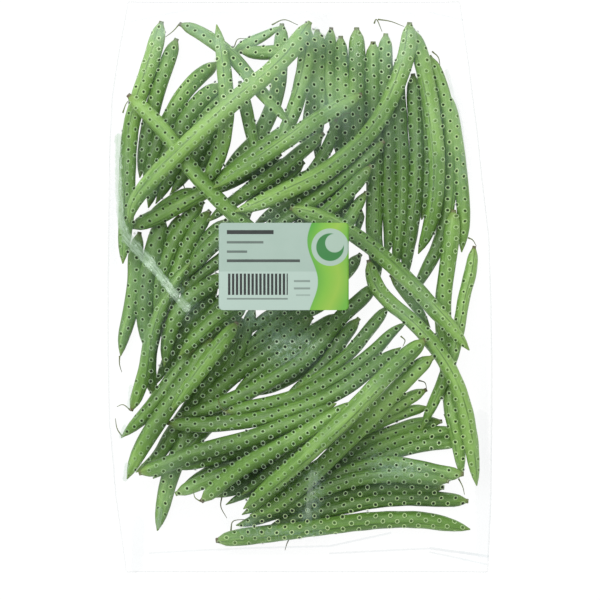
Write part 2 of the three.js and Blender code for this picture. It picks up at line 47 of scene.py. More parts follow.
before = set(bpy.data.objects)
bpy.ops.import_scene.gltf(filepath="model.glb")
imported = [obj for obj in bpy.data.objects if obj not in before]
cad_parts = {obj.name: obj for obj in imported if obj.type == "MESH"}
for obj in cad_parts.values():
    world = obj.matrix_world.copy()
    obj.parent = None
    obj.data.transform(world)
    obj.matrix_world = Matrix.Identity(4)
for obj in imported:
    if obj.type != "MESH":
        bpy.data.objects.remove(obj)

MM = 0.001
BODY = "root"

# The bag's edges between these stations, and its walls.
BAG_STATIONS = (-137, -100, -60, -30, 0, 30, 60, 80, 100, 120, 148)
BAG_LEFT = (-91, -96, -99.5, -100, -100, -100, -99.5, -99, -98, -95, -90)
BAG_RIGHT = (90, 91.5, 92, 92, 91.5, 90.5, 87, 85, 82.5, 80, 76)
BAG_SOUTH, BAG_NORTH = BAG_STATIONS[0], BAG_STATIONS[-1]
PLAN_SHIFT = (
    -(min(BAG_LEFT) + max(BAG_RIGHT)) / 2,
    -(BAG_SOUTH + BAG_NORTH) / 2,
)  # from the bag's plan to the frame
WALL = 0.7  # wall of the bag's solid, under the pods
FLOOR_GAP = 1.0
GAP = 0.3
SIDE_LIFT = 4.0
SIDE_BAND = 14.0

# The sticker.
LABEL_WEST, LABEL_EAST, LABEL_SOUTH, LABEL_NORTH = -44.0, 20.0, -6.0, 37.0
LABEL_CORNER = 2.0

# How the pods are stacked.
POD_RINGS = (0, 0.05, 0.2, 0.4, 0.6, 0.8, 0.93, 1)
POD_GIRTH = (0.45, 0.85, 1, 1, 1, 0.93, 0.62, 0.15)
POD_BEND = 65.0
POD_STEP = 2.0
POD_EASE = 3
POD_SINK = 1.4
CURVE_SPANS = 200


# The pods' finer shape.
SEED = 7
POD_RING_COUNT = 96
POD_SIDE_COUNT = 24
POD_END_CROWD = 0.45
POD_SMOOTHING = 4.0
POD_WAVE = 0.02
RADIUS_MIN = 0.22
POD_NECK_RUN = (0, 1.2, 2.6, 4.5, 7, 11, 18)
POD_NECK = (0.3, 0.32, 0.52, 0.76, 0.9, 0.97, 1.0)
POD_TIP_RUN = (0, 1.5, 4, 8, 13, 20, 30, 40)
POD_TIP = (0.07, 0.2, 0.44, 0.68, 0.84, 0.94, 0.99, 1.0)
SEED_SPACING = (10.5, 13.5)
SEED_FIRST = (12, 18)
SEED_LAST = 16
SEED_JITTER = 0.8
SEED_SIZES = (0.55, 1.0)
SEED_WIDTH = 4.4
SEED_BULGE = 0.075
OVAL = 0.05
BUNCH_SWELL = 1.08  # pods of a bunch close the chinks between them
SEAM_RIDGE = 0.025
SEAM_WIDTH = 0.3
ROLL_DRIFT = 0.9
ROLL_HELD = 0.3  # share of the drift left on a pod with a listed roll
WISP_RADII = (0.42, 0.3, 0.14)
WISP_RISE = 1.2

# The film's finer shape.
FILM_PITCH = 1.2
FILM_COLUMNS = 146
FILM_ROWS = 216
FILM_SWELL = 1.06
FILM_CLEAR = 0.35
FILM_REACH = 5
FILM_ROUNDS = 60
FILM_RUFFLE = 1.0
FILM_GRID_X = (-102, 95)
FILM_GRID_Y = (-139, 150.5)
FILM_RIM = 0.3
FILM_OPEN = 0.45  # least height of the upper sheet over the lower
FILM_LOOSE = (3, 14)
RUFFLES = ((3, 0.35), (40, 0.5))  # cells smoothed over, and height
GAP_EMPTY = 6.0
GAP_MOST = 12
UV_UNIT = 100
SEAL_SOUTH = 8.0
SEAL_NORTH = 4.0
LABEL_WAVE = 0.25
LABEL_SKIRT = 3.0
LABEL_SLOPE = 16.0
LABEL_ROWS = 40
LABEL_COLUMNS = 60
LABEL_LIFT = 0.35
LABEL_CARD = 0.15

# The sticker's print, from its corner: the block of bars, and discs as a centre and a radius.
BARS = (4.0, 7.5, 34.0, 18.0)
DISC = (54.8, 31.0, 9.2)
CRESCENT = (54.8, 31.0, 6.8)
CRESCENT_BITE = (57.0, 33.0, 4.6)

# The film's holes, as distances from their middle, and how opaque its parts are; each of the holes is drawn
# as a nearly opaque dark disc of painted shade.
HOLE_EDGE = (0.66, 0.48)
RING_OUTSIDE = (1.24, 1.08)
RING_INSIDE = (0.74, 0.86)
FILM_ALPHA = 0.008
FOLD_ALPHA = 0.06
# Painted glare, in part: how opaque the pale veil is.
VEIL_ALPHA = 0.3
RING_ALPHA = 0.62
STRAND_ALPHA = 0.75
HOLE_SHADE_ALPHA = 0.95

# Thin dry tips, as plan points from the pod's end.
WISPS = (
    (-64, 136.5, -67, 133, -71, 130),
    (-38, 122, -36.5, 126, -35, 129, -31, 129.5),
    (-18, 136, -12, 138.5, -5, 136),
    (33, 137, 34, 139, 37, 133),
    (62, 123, 65, 120, 66, 115),
    (80, 30, 82, 29, 84, 26),
    (-94, -29, -94, -33, -93, -37),
    (-88, -56, -92, -53, -95, -54),
    (-92.5, -69, -95, -65, -96, -60),
    (-41, -57, -44, -53, -45, -48),
    (-53, -101, -56, -99, -57, -95),
    (75, -90, 77, -94, 78, -98),
    (46, -19, 48, -21, 47, -24),
    (55, -41, 58, -42, 59, -45),
    (14, 89, 20, 92, 27, 90),
    (-43, -99, -43.5, -104, -40.5, -110),
    (-38.5, -116, -37.5, -111.5, -31, -110.5),
    (-9, -119.5, -10.5, -122.5, -11.5, -126),
    (-63, 61, -61, 54, -55, 51),
    (35, 139, 41, 138, 48, 135.5),
    (-92, 92, -90, 97, -88, 99),
    (68, -58, 70, -64, 70, -69),
)

# Crumpled places in the film: half width, strength, then plan points.
CREASES = (
    (7.0, 0.7, -26, -10, -14, -20, -10, -26),
    (4.0, 0.5, -14, -14, 0, -22),
    (4.0, 0.8, 3, -88, 3, -98, 0, -108),
    (4.0, 0.6, -38, -112, -16, -117, 5, -118),
    (3.0, 0.6, 70, 112, 77, 88, 79, 62),
    (3.0, 0.5, -97, 60, -98, 40, -97, 20),
    (6.0, 0.4, -64, 2, -60, -4),
    (5.0, 0.5, 34, -80, 44, -84, 52, -84),
)

# Gathered strands of the film: half width, strength, then both ends in the plan.
STRANDS = (
    (2.2, 0.8, -94.5, 80, -94, 56),
    (2.4, 0.9, -94, 58, -92.5, 36),
    (2.6, 0.9, -92.5, 38, -89, 29),
    (3.2, 1.0, -90, 30, -78, 17),
    (2.5, 1.0, -78, 17, -66, 2),
    (2.6, 0.7, -66, 2, -60, -5),
    (1.2, 0.35, 69, 113, 76, 88),
    (1.2, 0.35, 76, 88, 79, 62),
    (1.5, 0.5, -90, -83, -91, -90),
    (1.5, 0.45, -91, -64, -93, -69),
    (1.5, 0.5, -73.5, -105, -74.5, -114),
    (1.2, 0.4, -88, -44, -89, -54),
    (2.0, 0.5, 2, -86, 0, -108),
)

# Faint folds of the empty film, in the same form.
FOLDS = (
    (0.6, 0.18, -79, -127.5, -29, -124.5),
    (0.6, 0.2, -29, -124.5, 11, -123.5),
    (0.6, 0.23, 11, -123.5, 41, -117),
    (0.6, 0.2, 11, -127.5, 61, -125),
    (0.8, 0.26, 61, -125, 90, -129),
    (0.6, 0.2, 61, -127, 89, -133),
    (4.0, 0.09, -84.5, -112, -85.5, -134),
    (5.0, 0.07, 86, -60, 88, -127),
    (0.6, 0.14, -88, 138, -60, 144),
    (0.6, 0.14, 60, 143, 80, 138),
)

# Plain rules on the sticker: strength, then west, south, east and north, from its corner.
RULES = (
    (1.0, 4.0, 37.4, 27.0, 39.4),
    (0.7, 4.0, 32.8, 22.0, 34.0),
    (0.7, 4.0, 28.2, 14.0, 29.4),
    (0.9, 4.0, 23.6, 40.0, 25.0),
    (0.6, 4.0, 5.2, 34.0, 6.0),
    (0.5, 37.0, 13.8, 45.0, 14.8),
    (0.5, 37.0, 10.2, 45.0, 11.2),
    (0.3, 38.0, 7.0, 45.0, 7.8),
)

# Places where the film looks hazy, partly its own milkiness and partly painted glare: half width, strength,
# then plan points.
HAZE_AND_GLARE = (
    (26.0, 0.75, -30, 112, 12, 96),
    (14.0, 0.4, -90, 50, -88, -20),
    (20.0, 1.3, -66, 136, 40, 134),
    (9.0, 0.7, -70, -90, -62, -108),
    (14.0, 0.5, -30, 30, 20, 26),
    (12.0, 0.5, 74, 100, 74, 60),
    (11.0, 0.45, -24, -14, 0, -22),
    (10.0, 0.4, 66, -84, 40, -84),
    (22.0, 0.3, 20, 70, 50, 90),
    (18.0, 0.3, 30, -30, 50, 0),
    (12.0, 0.5, -50, -108, -36, -112),
)

# Pools of painted light, where the pods are made brighter: half width, strength, plan points.
PAINTED_LIGHT = (
    (26.0, 0.42, -96, 124, -60, 130, 60, 136),
    (24.0, 0.42, -84, 108, -56, 104, -14, 98),
    (12.0, 0.75, -8, 118, 14, 104),
    (14.0, 0.62, 6, 134, 40, 130),
    (14.0, 0.6, -66, 114, -62, 104),
    (16.0, 0.26, -30, 52, 18, 50),
    (12.0, 0.24, -66, 52, -62, 42),
    (12.0, 0.24, -66, 10, -66, -10),
    (12.0, 0.6, 56, -48, 40, -54),
    (12.0, 0.32, 36, -70, 56, -70),
    (12.0, 0.45, -86, -84, -84, -100),
    (18.0, 0.95, 74, 120, 80, 84),
    (16.0, 0.55, 80, 84, 80, 30, 82, -90),
    (12.0, 0.16, -94, 60, -90, -80),
    (16.0, 0.34, -74, -94, -52, -114),
    (16.0, 0.14, 40, 12, 66, -20),
    (18.0, 0.12, -60, -40, 0, -60, 50, -74),
)

# Places where the rings round the holes show: half width, strength, plan points.
RINGED = (
    (400.0, 0.6, 0, 0, 1, 1),
    (34.0, 1.0, -86, 118, -50, 108, -20, 112),
    (32.0, 0.85, 0, 120, 60, 120),
    (24.0, 1.0, 78, 110, 80, 20, 78, -90),
    (26.0, 1.2, -30, -116, 20, -112, 74, -104),
    (26.0, 1.0, 60, -50, 66, -90),
    (16.0, 0.6, -86, 30, -86, -60),
    (20.0, 0.9, -70, -96, -40, -108),
    (22.0, 0.75, 30, 6, 50, 10),
    (24.0, 0.6, 40, 50, 44, 90),
)

# How bright the pods of these nodes are, partly their own colour and partly painted light and shade, darker
# in the bunches, which lie lowest, and brighter in the pods on top; the others are drawn.
TONES_AND_SHADE = {
    "bunch_left": 0.47,
    "bunch_low_left": 0.44,
    "bunch_low_right": 0.46,
    "pod_27": 0.68,
    "pod_29": 0.5,
    "pod_34": 0.62,
    "pod_38": 0.72,
    "pod_39": 0.66,
    "pod_40": 0.62,
    "pod_41": 0.66,
    "pod_42": 0.66,
    "pod_43": 0.7,
    "pod_44": 0.62,
    "pod_45": 0.64,
    "pod_46": 0.66,
    "pod_47": 0.85,
    "pod_48": 0.76,
}

# Painted shade: the bunches lie lowest, so their pods are drawn darker than the single pods laid on them.
BUNCH_SHADED_TONE = 0.36
POD_TONE = 0.46
TONE_SPREAD = (-0.1, 0.12)

# The pitch of each of the two lattices that the film's holes stand on.
HOLE_PITCH_X = 7.4
HOLE_PITCH_Y = 5.6

# The stage, in metres.
FLOOR_HALF = 3.0
LAMP_SIZE = (1.2, 0.8)
LAMP_PLACE = (-0.35, 0.45, 1.1)
CAMERA_SENSOR = 36
CAMERA_Y = -0.0065
CAMERA_REACH = 50


# How far a pod is rolled, where its seam shows on top.
ROLLS = {
    "pod_47": 0.12,
    "pod_48": 0.35,
    "pod_42": -0.3,
    "pod_43": 0.2,
    "pod_38": -0.25,
    "pod_34": 0.3,
    "pod_27": 0.25,
}
BUNCHES = {
    "bunch_right": [
        (3.8, 32.5, 128, 32.5, 110, 33, 90, 33, 68, 33, 50, 33, 32, 34, 18, 33, 3),
        (3.7, 38, 132, 37.5, 115, 38.5, 95, 40, 75, 40, 60, 40, 45, 40, 32, 38, 21),
        (3.6, 44, 118, 45, 100, 46, 85, 47, 68, 47, 50, 46, 35, 44.5, 22, 43, 13),
        (3.7, 52, 112, 53, 95, 54, 78, 54, 62, 53, 48, 51, 34, 49, 20, 48.5, 9),
        (3.4, 57, 106, 58.5, 92, 60, 78, 60, 62, 58, 49, 56, 39),
    ],
    "bunch_edge": [
        (3.3, 60.5, 121, 65.5, 108, 69.5, 92, 70.5, 75, 70.5, 55, 68.5, 39, 65, 26, 59.5, 15, 55, 7, 51, 1.5),
        (3.2, 67, 99, 70, 88, 72, 76, 73.8, 62, 75.5, 46, 76, 33, 75, 19),
        (2.8, 41, 12.5, 46, 7, 51, 0.5, 56, -6.5, 61, -14),
    ],
    "bunch_top": [
        (3.6, 4.5, 134, 5.3, 120, 4, 105, 1.5, 92, -1, 80, -3, 72),
        (3.2, 12, 135, 11, 122, 11, 108, 13, 95, 15, 80, 16, 68),
        (3.6, 17.5, 131, 17.5, 118, 18.5, 104, 20, 90, 21, 76, 20.5, 65),
        (3.9, 24.3, 135, 24.4, 122, 24.5, 108, 24.9, 92, 25.2, 78, 25, 66),
        (2.6, 8, 112, 7.8, 100, 6.8, 88, 5.8, 76, 6, 66),
    ],
    "bunch_left_top": [
        (3.5, -65.5, 129.5, -70, 118, -74, 106.5, -78, 92, -81, 77, -84, 60),
        (3.7, -47, 118, -57, 110.5, -65, 101.5, -71, 91, -77, 79, -81, 66, -84, 54),
        (3.8, -43, 107, -52.5, 100, -60, 91, -66, 80, -72, 68, -77, 56, -80, 45),
        (3.6, -46, 94, -52, 84, -58, 74, -64, 64, -69, 55, -74, 46),
        (3.5, -40, 86, -46, 76, -52, 66, -58, 57, -64, 49),
        (3.0, -36, 84, -42, 74.5, -48, 65, -53, 57),
        (2.6, -41, 101, -49, 93, -56, 85, -62, 77),
    ],
    "bunch_left": [
        (3.4, -84, 33, -86, 22, -86.5, 8, -89, -8, -92, -20, -93.5, -29),
        (4.2, -75, 40, -78, 30, -80.5, 20, -83.5, 8, -84.5, -4, -84, -16, -83, -27),
        (3.7, -55, 49.5, -62, 42, -68, 33, -73, 22, -77, 10, -78, -3, -78, -16),
        (2.8, -66, 42, -69.5, 34, -72.5, 25, -75, 16),
        (3.8, -50, 44, -58, 33, -64, 20, -68, 7, -71, -6, -74, -20),
        (3.6, -42, 40, -51, 31, -58, 20, -62, 8, -64, -5),
        (3.7, -57, 58, -67, 53, -77, 47, -84, 42),
    ],
    "bunch_low_left": [
        (3.6, -33, -10, -38, -22, -45, -33, -52, -44, -60, -56, -68, -68, -76, -80, -86, -87),
        (3.9, 2, -9, -9, -17, -20, -26, -32, -34, -43, -43, -52, -53, -59, -65, -65, -78, -70, -92,
      -73, -105, -75.5, -116),
        (3.9, 10, -17, 1, -26, -9, -33.5, -18, -40, -26, -46, -38, -54, -49, -62, -57, -71, -66, -80,
      -74, -88, -81, -94),
        (3.4, -30, -4, -40, -13, -49, -22, -57, -32, -63, -43, -68, -53),
        (3.5, -40, 8, -48, -2, -56, -11, -63, -21, -68, -31, -73, -42, -79, -52),
        (3.4, -44, 6, -52, -5, -60, -15, -66, -26, -71, -36, -75, -44),
        (3.4, 12, -1, 2, -5.5, -8, -9.5, -18, -15, -27, -22, -33, -28),
        (3.4, 26.5, 22, 19, 13, 10, 6, 2, 1, -7, -3, -17, -8, -25, -13, -31, -19),
        (3.2, 14, -6.5, 6, -12, -2, -18, -12, -25, -21, -32, -30, -39, -39, -47),
        (3.0, 14, -22, 5, -31, -4, -39, -14, -45, -24, -50),
        (3.2, -30, -4, -33, -14, -36, -24, -39.5, -33, -45, -43),
        (3.0, -30, -18, -36, -28, -42, -37, -48, -46),
        (2.4, -14, -17.5, -22, -22.5, -30, -29.5, -36, -35),
    ],
    "bunch_low_middle": [
        (3.6, 42, -57, 28, -62, 16, -67, 6, -72.5, -5, -79, -16, -85, -27, -90.5, -38, -96, -46, -99.5),
        (2.7, -9, -83, -18, -88, -27, -92.8, -36, -97, -43, -101),
        (3.4, -8, -72, -18, -77.5, -28, -82, -38, -86.5, -48, -91),
        (3.9, -22, -71, -32, -75.5, -42, -80, -52, -84.5, -64, -90),
    ],
    "bunch_centre": [
        (3.6, -8, 70, -19, 62, -31, 54.5, -36, 52.5),
        (3.4, -3, 69, -14, 60.5, -25, 53, -33, 47.5),
        (3.6, 4, 64, -8, 55.5, -20, 48, -29, 43),
        (3.4, 9, 62, -3, 52.5, -15, 44.5, -27, 37),
        (3.6, 14, 59, 2, 49, -10, 41, -22, 34, -29, 30),
        (3.2, 19, 56.5, 8, 47, -3, 38, -14, 30),
        (3.6, 24, 54, 14, 44, 4, 35, -6, 27, -16, 19.5),
        (3.2, -12.5, 70.5, -22, 65, -31, 59.5, -38, 55, -43.5, 51),
        (2.6, 27, 50, 20, 43, 12, 36, 4, 29),
        (3.1, 27, 44.5, 26.5, 38, 25, 30),
    ],
    "bunch_low_right": [
        (3.3, 67, -61.5, 55, -63, 42, -67, 28, -72, 14, -79, 0, -87, -13, -95.5, -23, -102.3, -33, -108.2),
        (3.2, 76, -68, 63, -68.5, 49, -71.5, 35, -76.5, 20, -83.5, 6, -91),
        (3.0, 77, -74, 62, -74.5, 48, -77.5, 34, -82.5, 22, -88),
    ],
    "bunch_bottom": [
        (3.8, 68, -94.5, 52, -94, 38, -94, 20, -97, 2, -101, -14, -106, -30, -112, -36, -113.5),
        (3.6, 80, -101, 65, -100, 50, -99.5, 32, -101, 14, -104.5, -4, -109, -20, -114),
    ],
}

# Single pods in the order they lie, lowest first, written the same way.
PODS = [
    (3.8, -13, 137, -13.7, 120, -15, 105, -19, 92, -26, 79, -34, 71, -44, 60),
    (3.2, -34, 108, -31, 95, -28.5, 83, -26, 73, -22, 62),
    (3.4, -14, 37, -30, 28, -44, 18.5, -54, 11, -62, 2.5),
    (3.9, -28, 44, -40, 33, -48, 26, -57, 16.5, -66, 7),
    (4.2, -88.5, 35, -74, 41, -60, 48.5, -46, 56.5, -33, 66, -20, 77, -8, 87),
    (3.6, 8, 82, -3, 73, -15, 63, -27, 55, -40, 46, -50, 38),
    (3.6, 38, 78, 28, 68.5, 15, 58, 3, 49, -7, 42, -20, 33),
    (3.7, 31.5, 66, 24, 57, 15, 48, 5, 39.5, -6, 30, -18, 20),
    (3.3, 29, 53, 24, 45, 19, 36, 12, 25, 4, 14, -6, 4),
    (3.0, 14, 89, 11, 78, 5, 67, -4, 57, -14, 50),
    (3.2, -38, 121.5, -30, 126.5, -22, 130.5, -13, 135.5),
    (3.6, -34, 122.5, -20, 122, -8, 124, 4, 127),
    (3.6, 25.5, -10, 18, -19, 10, -31, 0, -41, -12, -50),
    (3.3, 40, -4, 31, -15, 21, -27, 9, -37, -6, -45),
    (3.4, -68, -84, -52, -81, -38, -77, -24, -73, -9, -67.5, 6, -62),
    (3.0, 60, -54.5, 50, -56.5, 38, -61, 24, -68, 10, -76),
    (3.5, 59, -45.5, 50, -50, 40, -55.5, 28, -62, 16, -67.5, 3, -72.5, -10, -80, -22, -89, -33, -98),
    (3.6, -66, -97.6, -55, -92.6, -42, -87.6, -28, -83, -14, -78),
    (3.7, 34, 7, 26, -1, 17, -9, 8, -20, 0, -29, -12, -37.5, -25, -44.5, -38, -50.5, -52, -55.5,
     -66, -59),
    (3.5, -41, -57, -30, -54.5, -16, -51.5, -1, -47, 11, -41.5, 21, -35.5, 32, -27, 42, -17, 49, -12),
    (3.8, -70, -62, -55, -63, -40, -62, -25, -60, -10, -56, 5, -51, 19, -44, 30, -36, 38, -30,
     46, -24.5),
    (3.5, -77, -49, -79, -33, -76.5, -18, -72, -4, -66, 8, -58, 18),
    (3.5, -88, -56, -84, -46, -80.5, -34, -78, -20, -74, -8, -68, 4),
    (4.2, -56, -26, -64, -36, -72, -47, -81, -58, -93, -69.5),
    (4.2, -48, -20, -56, -34, -65.5, -48, -75, -62, -83.5, -76, -90, -90),
    (4.0, -40, 12, -48, 7, -57, 1, -65, -8, -69.5, -21, -71.5, -34),
    (4.2, -73, 138, -78, 119, -84, 101, -88, 86, -89.5, 72, -90, 56, -90.3, 40, -91.3, 27, -92, 17),
    (4.0, -0.5, 136, -1, 120, -3.3, 106, -7, 93, -12.5, 80, -20, 68),
    (4.2, 52, 134, 55.5, 123, 58.5, 110, 61, 96, 63, 80, 64, 64, 63, 48, 60, 34, 55, 22),
    (4.0, 72.5, 44, 71.5, 32, 69.5, 16, 67.5, 0, 67.5, -14, 69, -28, 70.5, -43, 72, -58, 75, -74, 76.5, -89),
    (3.2, 83, 26, 81, 13, 77.7, 0, 75.5, -12, 72.5, -26, 67.5, -40, 61.5, -54, 56, -66),
    (3.8, 77.5, -87.5, 66, -87, 54, -84.5, 40, -82.5, 25, -85, 10, -90, -4, -97),
    (3.6, 70, -91, 56, -89, 42, -88, 26, -89.5, 10, -94, -6, -101, -22, -108),
    (4.4, -46, -121, -28, -118.5, -10, -116.2, 10, -113.5, 27, -111.5, 42, -110.5, 57, -110.8,
     70, -113, 81, -115.5),
    (4.0, -84, -87, -71, -83, -58, -77.5, -44, -73.5, -29, -69.5, -14, -64, 1, -58.5, 14, -52),
    (4.2, -26, 3, -36, -4, -44, -9, -54, -18, -64, -29),
    (3.5, -64, 136.5, -55, 132.5, -46.5, 127, -38.5, 120.5, -31, 112, -25, 104, -17, 95, -9, 86),
    (3.8, -52, 56, -46, 66, -42.5, 76, -40.5, 88, -40.5, 100, -41.5, 112, -43, 123, -45.3, 135.5),
    (3.8, -89.5, 101, -80, 92, -70, 81, -61, 68, -50, 54.5, -38, 42.5, -26, 32, -12, 22),
    (3.9, 26.5, 101, 15, 94.5, 3, 87, -10, 78, -22, 70, -35, 62, -47, 54),
    (3.9, 30, 19, 34, 6, 41, -2.5, 49, -9, 57, -17, 65, -27, 72.5, -40, 77.5, -54, 80.5, -69, 82.5, -83,
     84, -93.5),
    (4.1, -9, 44.5, 1, 41.5, 11, 38, 21, 32.5, 31, 25.5, 41, 17, 52.5, 6, 63, -6, 72, -16, 80, -26),
    (4.1, -35, -12, -46, -26, -57, -41, -68, -56),
    (3.9, -53, -101, -42, -91, -30, -82, -17, -75, -4, -68, 9, -60, 22, -51),
    (4.0, 62, -29, 55, -34, 46, -43, 37.5, -52, 28, -62, 17, -73, 5, -85, -7, -96, -18, -104, -29, -108),
    (4.4, 58, -20.5, 48, -29, 38, -38.5, 29, -48, 19, -58.5, 8, -69, -4, -80, -15, -89.5, -24, -97.5,
     -32, -104.5),
    (4.5, 1, 136.5, -3, 130, -10, 120.5, -20, 110.5, -30, 102.5, -41, 93, -53, 82, -65, 70.5,
     -77, 58.5, -86, 46.5, -88.5, 37),
    (4.4, 50.5, 137, 49.5, 124, 45.5, 110, 40, 97, 32, 84, 20.5, 72, 6.5, 61.5, -10, 53.5, -25, 46.5,
     -36.5, 42.5),
]


# ---------------------------------------------------------------- plan and stacking


def left_edge(y):
    """The bag's left edge: straight between the stations."""
    return np.interp(y, BAG_STATIONS, BAG_LEFT)


def right_edge(y):
    """The bag's right edge: straight between the stations."""
    return np.interp(y, BAG_STATIONS, BAG_RIGHT)


def underside(x, y):
    """Height of the bag's underside: zero, and near a side the lift times the square of the share of
    the band that is left to the edge."""
    inside = np.minimum(x - left_edge(y), right_edge(y) - x)
    return SIDE_LIFT * np.clip(1 - inside / SIDE_BAND, 0, 1) ** 2


def curve_points(points, t):
    """Points of a centripetal Catmull-Rom curve at t from 0 to 1: a cubic between each two listed points,
    whose end slopes come from the neighbouring points, weighted by the root of their distances."""
    points = np.asarray(points, float)
    padded = np.vstack([2 * points[0] - points[1], points, 2 * points[-1] - points[-2]])
    spans = np.sqrt(np.linalg.norm(np.diff(padded, axis=0), axis=1))
    place = t * (len(points) - 1)
    k = np.minimum(place.astype(int), len(points) - 2)
    w = (place - k)[:, None]
    p0, p1, p2, p3 = (padded[k + n] for n in range(4))
    d0, d1, d2 = (spans[k + n][:, None] for n in range(3))
    out_slope = ((p1 - p0) / d0 - (p2 - p0) / (d0 + d1) + (p2 - p1) / d1) * d1
    in_slope = ((p2 - p1) / d1 - (p3 - p1) / (d1 + d2) + (p3 - p2) / d2) * d1
    square = -3 * p1 + 3 * p2 - 2 * out_slope - in_slope
    cube = 2 * p1 - 2 * p2 + out_slope + in_slope
    return p1 + out_slope * w + square * w**2 + cube * w**3


def even_points(points, shares):
    """Points of the same curve at these shares of its length."""
    t = np.linspace(0, 1, CURVE_SPANS + 1)
    fine = curve_points(points, t)
    run = np.concatenate([[0], np.cumsum(np.linalg.norm(np.diff(fine, axis=0), axis=1))])
    return curve_points(points, np.interp(np.asarray(shares) * run[-1], run, t))


class Pod:
    """A pod's middle line: its rings' places in plan, their heights once it is laid, and its girth."""

    def __init__(self, row):
        self.girth = row[0]
        self.points = np.reshape(row[1:], (-1, 2)).astype(float)
        self.rings = even_points(self.points, POD_RINGS)
        self.z = np.zeros(len(POD_RINGS))

    def ring_run(self):
        """Distance along the middle line to each ring."""
        steps = np.linalg.norm(np.diff(self.rings, axis=0), axis=1)
        return np.concatenate([[0], np.cumsum(steps)])

    def samples(self):
        """Even samples along the middle line: an array of s, x, y, z and radius."""
        run = self.ring_run()
        count = int(math.floor(run[-1] / POD_STEP + 0.5))
        s = run[-1] * np.arange(count + 1) / count
        columns = (self.rings[:, 0], self.rings[:, 1], self.z, np.multiply(POD_GIRTH, self.girth))
        return np.column_stack([s] + [np.interp(s, run, c) for c in columns])


def clear_height(samples, laid):
    """Lowest height at which each sample clears the bag's floor and the spheres already laid."""
    _, x, y, _, r = samples.T
    height = underside(x, y) + WALL + FLOOR_GAP + r
    if len(laid):
        _, ox, oy, oz, other = laid.T
        reach = r[:, None] + other[None] + GAP
        apart = np.hypot(x[:, None] - ox, y[:, None] - oy)
        over = np.sqrt(np.maximum(reach**2 - apart**2, 0)) + oz
        height = np.maximum(height, np.where(apart < reach, over, -np.inf).max(axis=1))
    return height


def lay_pod(pod, laid):
    """Lays a pod on what is under it: its heights are the highest of the parabolas of radius POD_BEND
    that hang from the heights it needs, eased along it, and lifted until nothing is inside it."""
    samples = pod.samples()
    s = samples[:, 0]
    needed = clear_height(samples, laid)
    draped = (needed[None] - (s[None] - s[:, None]) ** 2 / (2 * POD_BEND)).max(axis=1)
    padded = np.pad(draped, POD_EASE)
    kernel = np.ones(2 * POD_EASE + 1)
    eased = np.convolve(padded, kernel, "valid") / np.convolve(
        np.pad(np.ones(len(s)), POD_EASE), kernel, "valid"
    )
    pod.z = np.interp(pod.ring_run(), s, eased)
    pod.z = pod.z + (needed - pod.samples()[:, 3]).max()
    return pod.samples()


def press_together(pods):
    """Slides each pod of a bunch sideways, in plan, until it presses into the nearest one before it."""
    placed = pods[0].samples()
    for pod in pods[1:]:
        samples = pod.samples()
        away = placed[None, :, 1:3] - samples[:, None, 1:3]
        dist = np.linalg.norm(away, axis=2)
        depth = dist - samples[:, None, 4] - placed[None, :, 4] + POD_SINK
        i, j = np.unravel_index(depth.argmin(), depth.shape)
        shift = away[i, j] / dist[i, j] * depth[i, j]
        pod.rings = pod.rings + shift
        pod.points = pod.points + shift
        placed = np.vstack([placed, pod.samples()])


def stack_pods():
    """Every pod, laid in order: a dictionary from CAD node to its pods."""
    made = {}
    laid = np.empty((0, 5))
    for name, rows in BUNCHES.items():
        pods = [Pod(row) for row in rows]
        press_together(pods)
        for pod in pods:
            laid = np.vstack([laid, lay_pod(pod, [])])
        made[name] = pods
    for k, row in enumerate(PODS):
        pod = Pod(row)
        laid = np.vstack([laid, lay_pod(pod, laid)])
        made[f"pod_{k + 1:02d}"] = [pod]
    return made


# ---------------------------------------------------------------- meshes


def smooth_step(low, high, value):
    """0 below low, 1 above high, and 3t^2 - 2t^3 of the share between them."""
    t = np.clip((value - low) / (high - low), 0, 1)
    return t * t * (3 - 2 * t)


def to_frame(points):
    """Points of the bag's plan, in millimetres, in the frame, in metres."""
    return (np.asarray(points) + (*PLAN_SHIFT, 0)) * MM


def make_mesh(name, verts, faces, uv, attributes, material):
    """An object in the frame from points in millimetres, faces of four corners (a triangle repeats its
    last), a UV pair for each corner of each face, and one number or triple for each point."""
    mesh = bpy.data.meshes.new(name)
    triangle = faces[:, 2] == faces[:, 3]
    keep = np.ones(faces.shape, bool)
    keep[triangle, 3] = False
    loops = faces[keep]
    sizes = keep.sum(axis=1)
    mesh.vertices.add(len(verts))
    mesh.vertices.foreach_set("co", to_frame(verts).astype(np.float32).ravel())
    mesh.loops.add(len(loops))
    mesh.loops.foreach_set("vertex_index", loops.astype(np.int32))
    mesh.polygons.add(len(faces))
    mesh.polygons.foreach_set("loop_start", np.concatenate([[0], np.cumsum(sizes)[:-1]]).astype(np.int32))
    mesh.update(calc_edges=True)
    layer = mesh.uv_layers.new(name="UVMap")
    layer.data.foreach_set("uv", uv[keep].astype(np.float32).ravel())
    for key, values in attributes.items():
        kind, field = ("FLOAT", "value") if np.ndim(values) == 1 else ("FLOAT_VECTOR", "vector")
        attribute = mesh.attributes.new(key, kind, "POINT")
        attribute.data.foreach_set(field, np.asarray(values, np.float32).ravel())
    mesh.validate()
    mesh.shade_smooth()
    mesh.materials.append(material)
    obj = bpy.data.objects.new(name, mesh)
    bpy.context.scene.collection.objects.link(obj)
    return obj


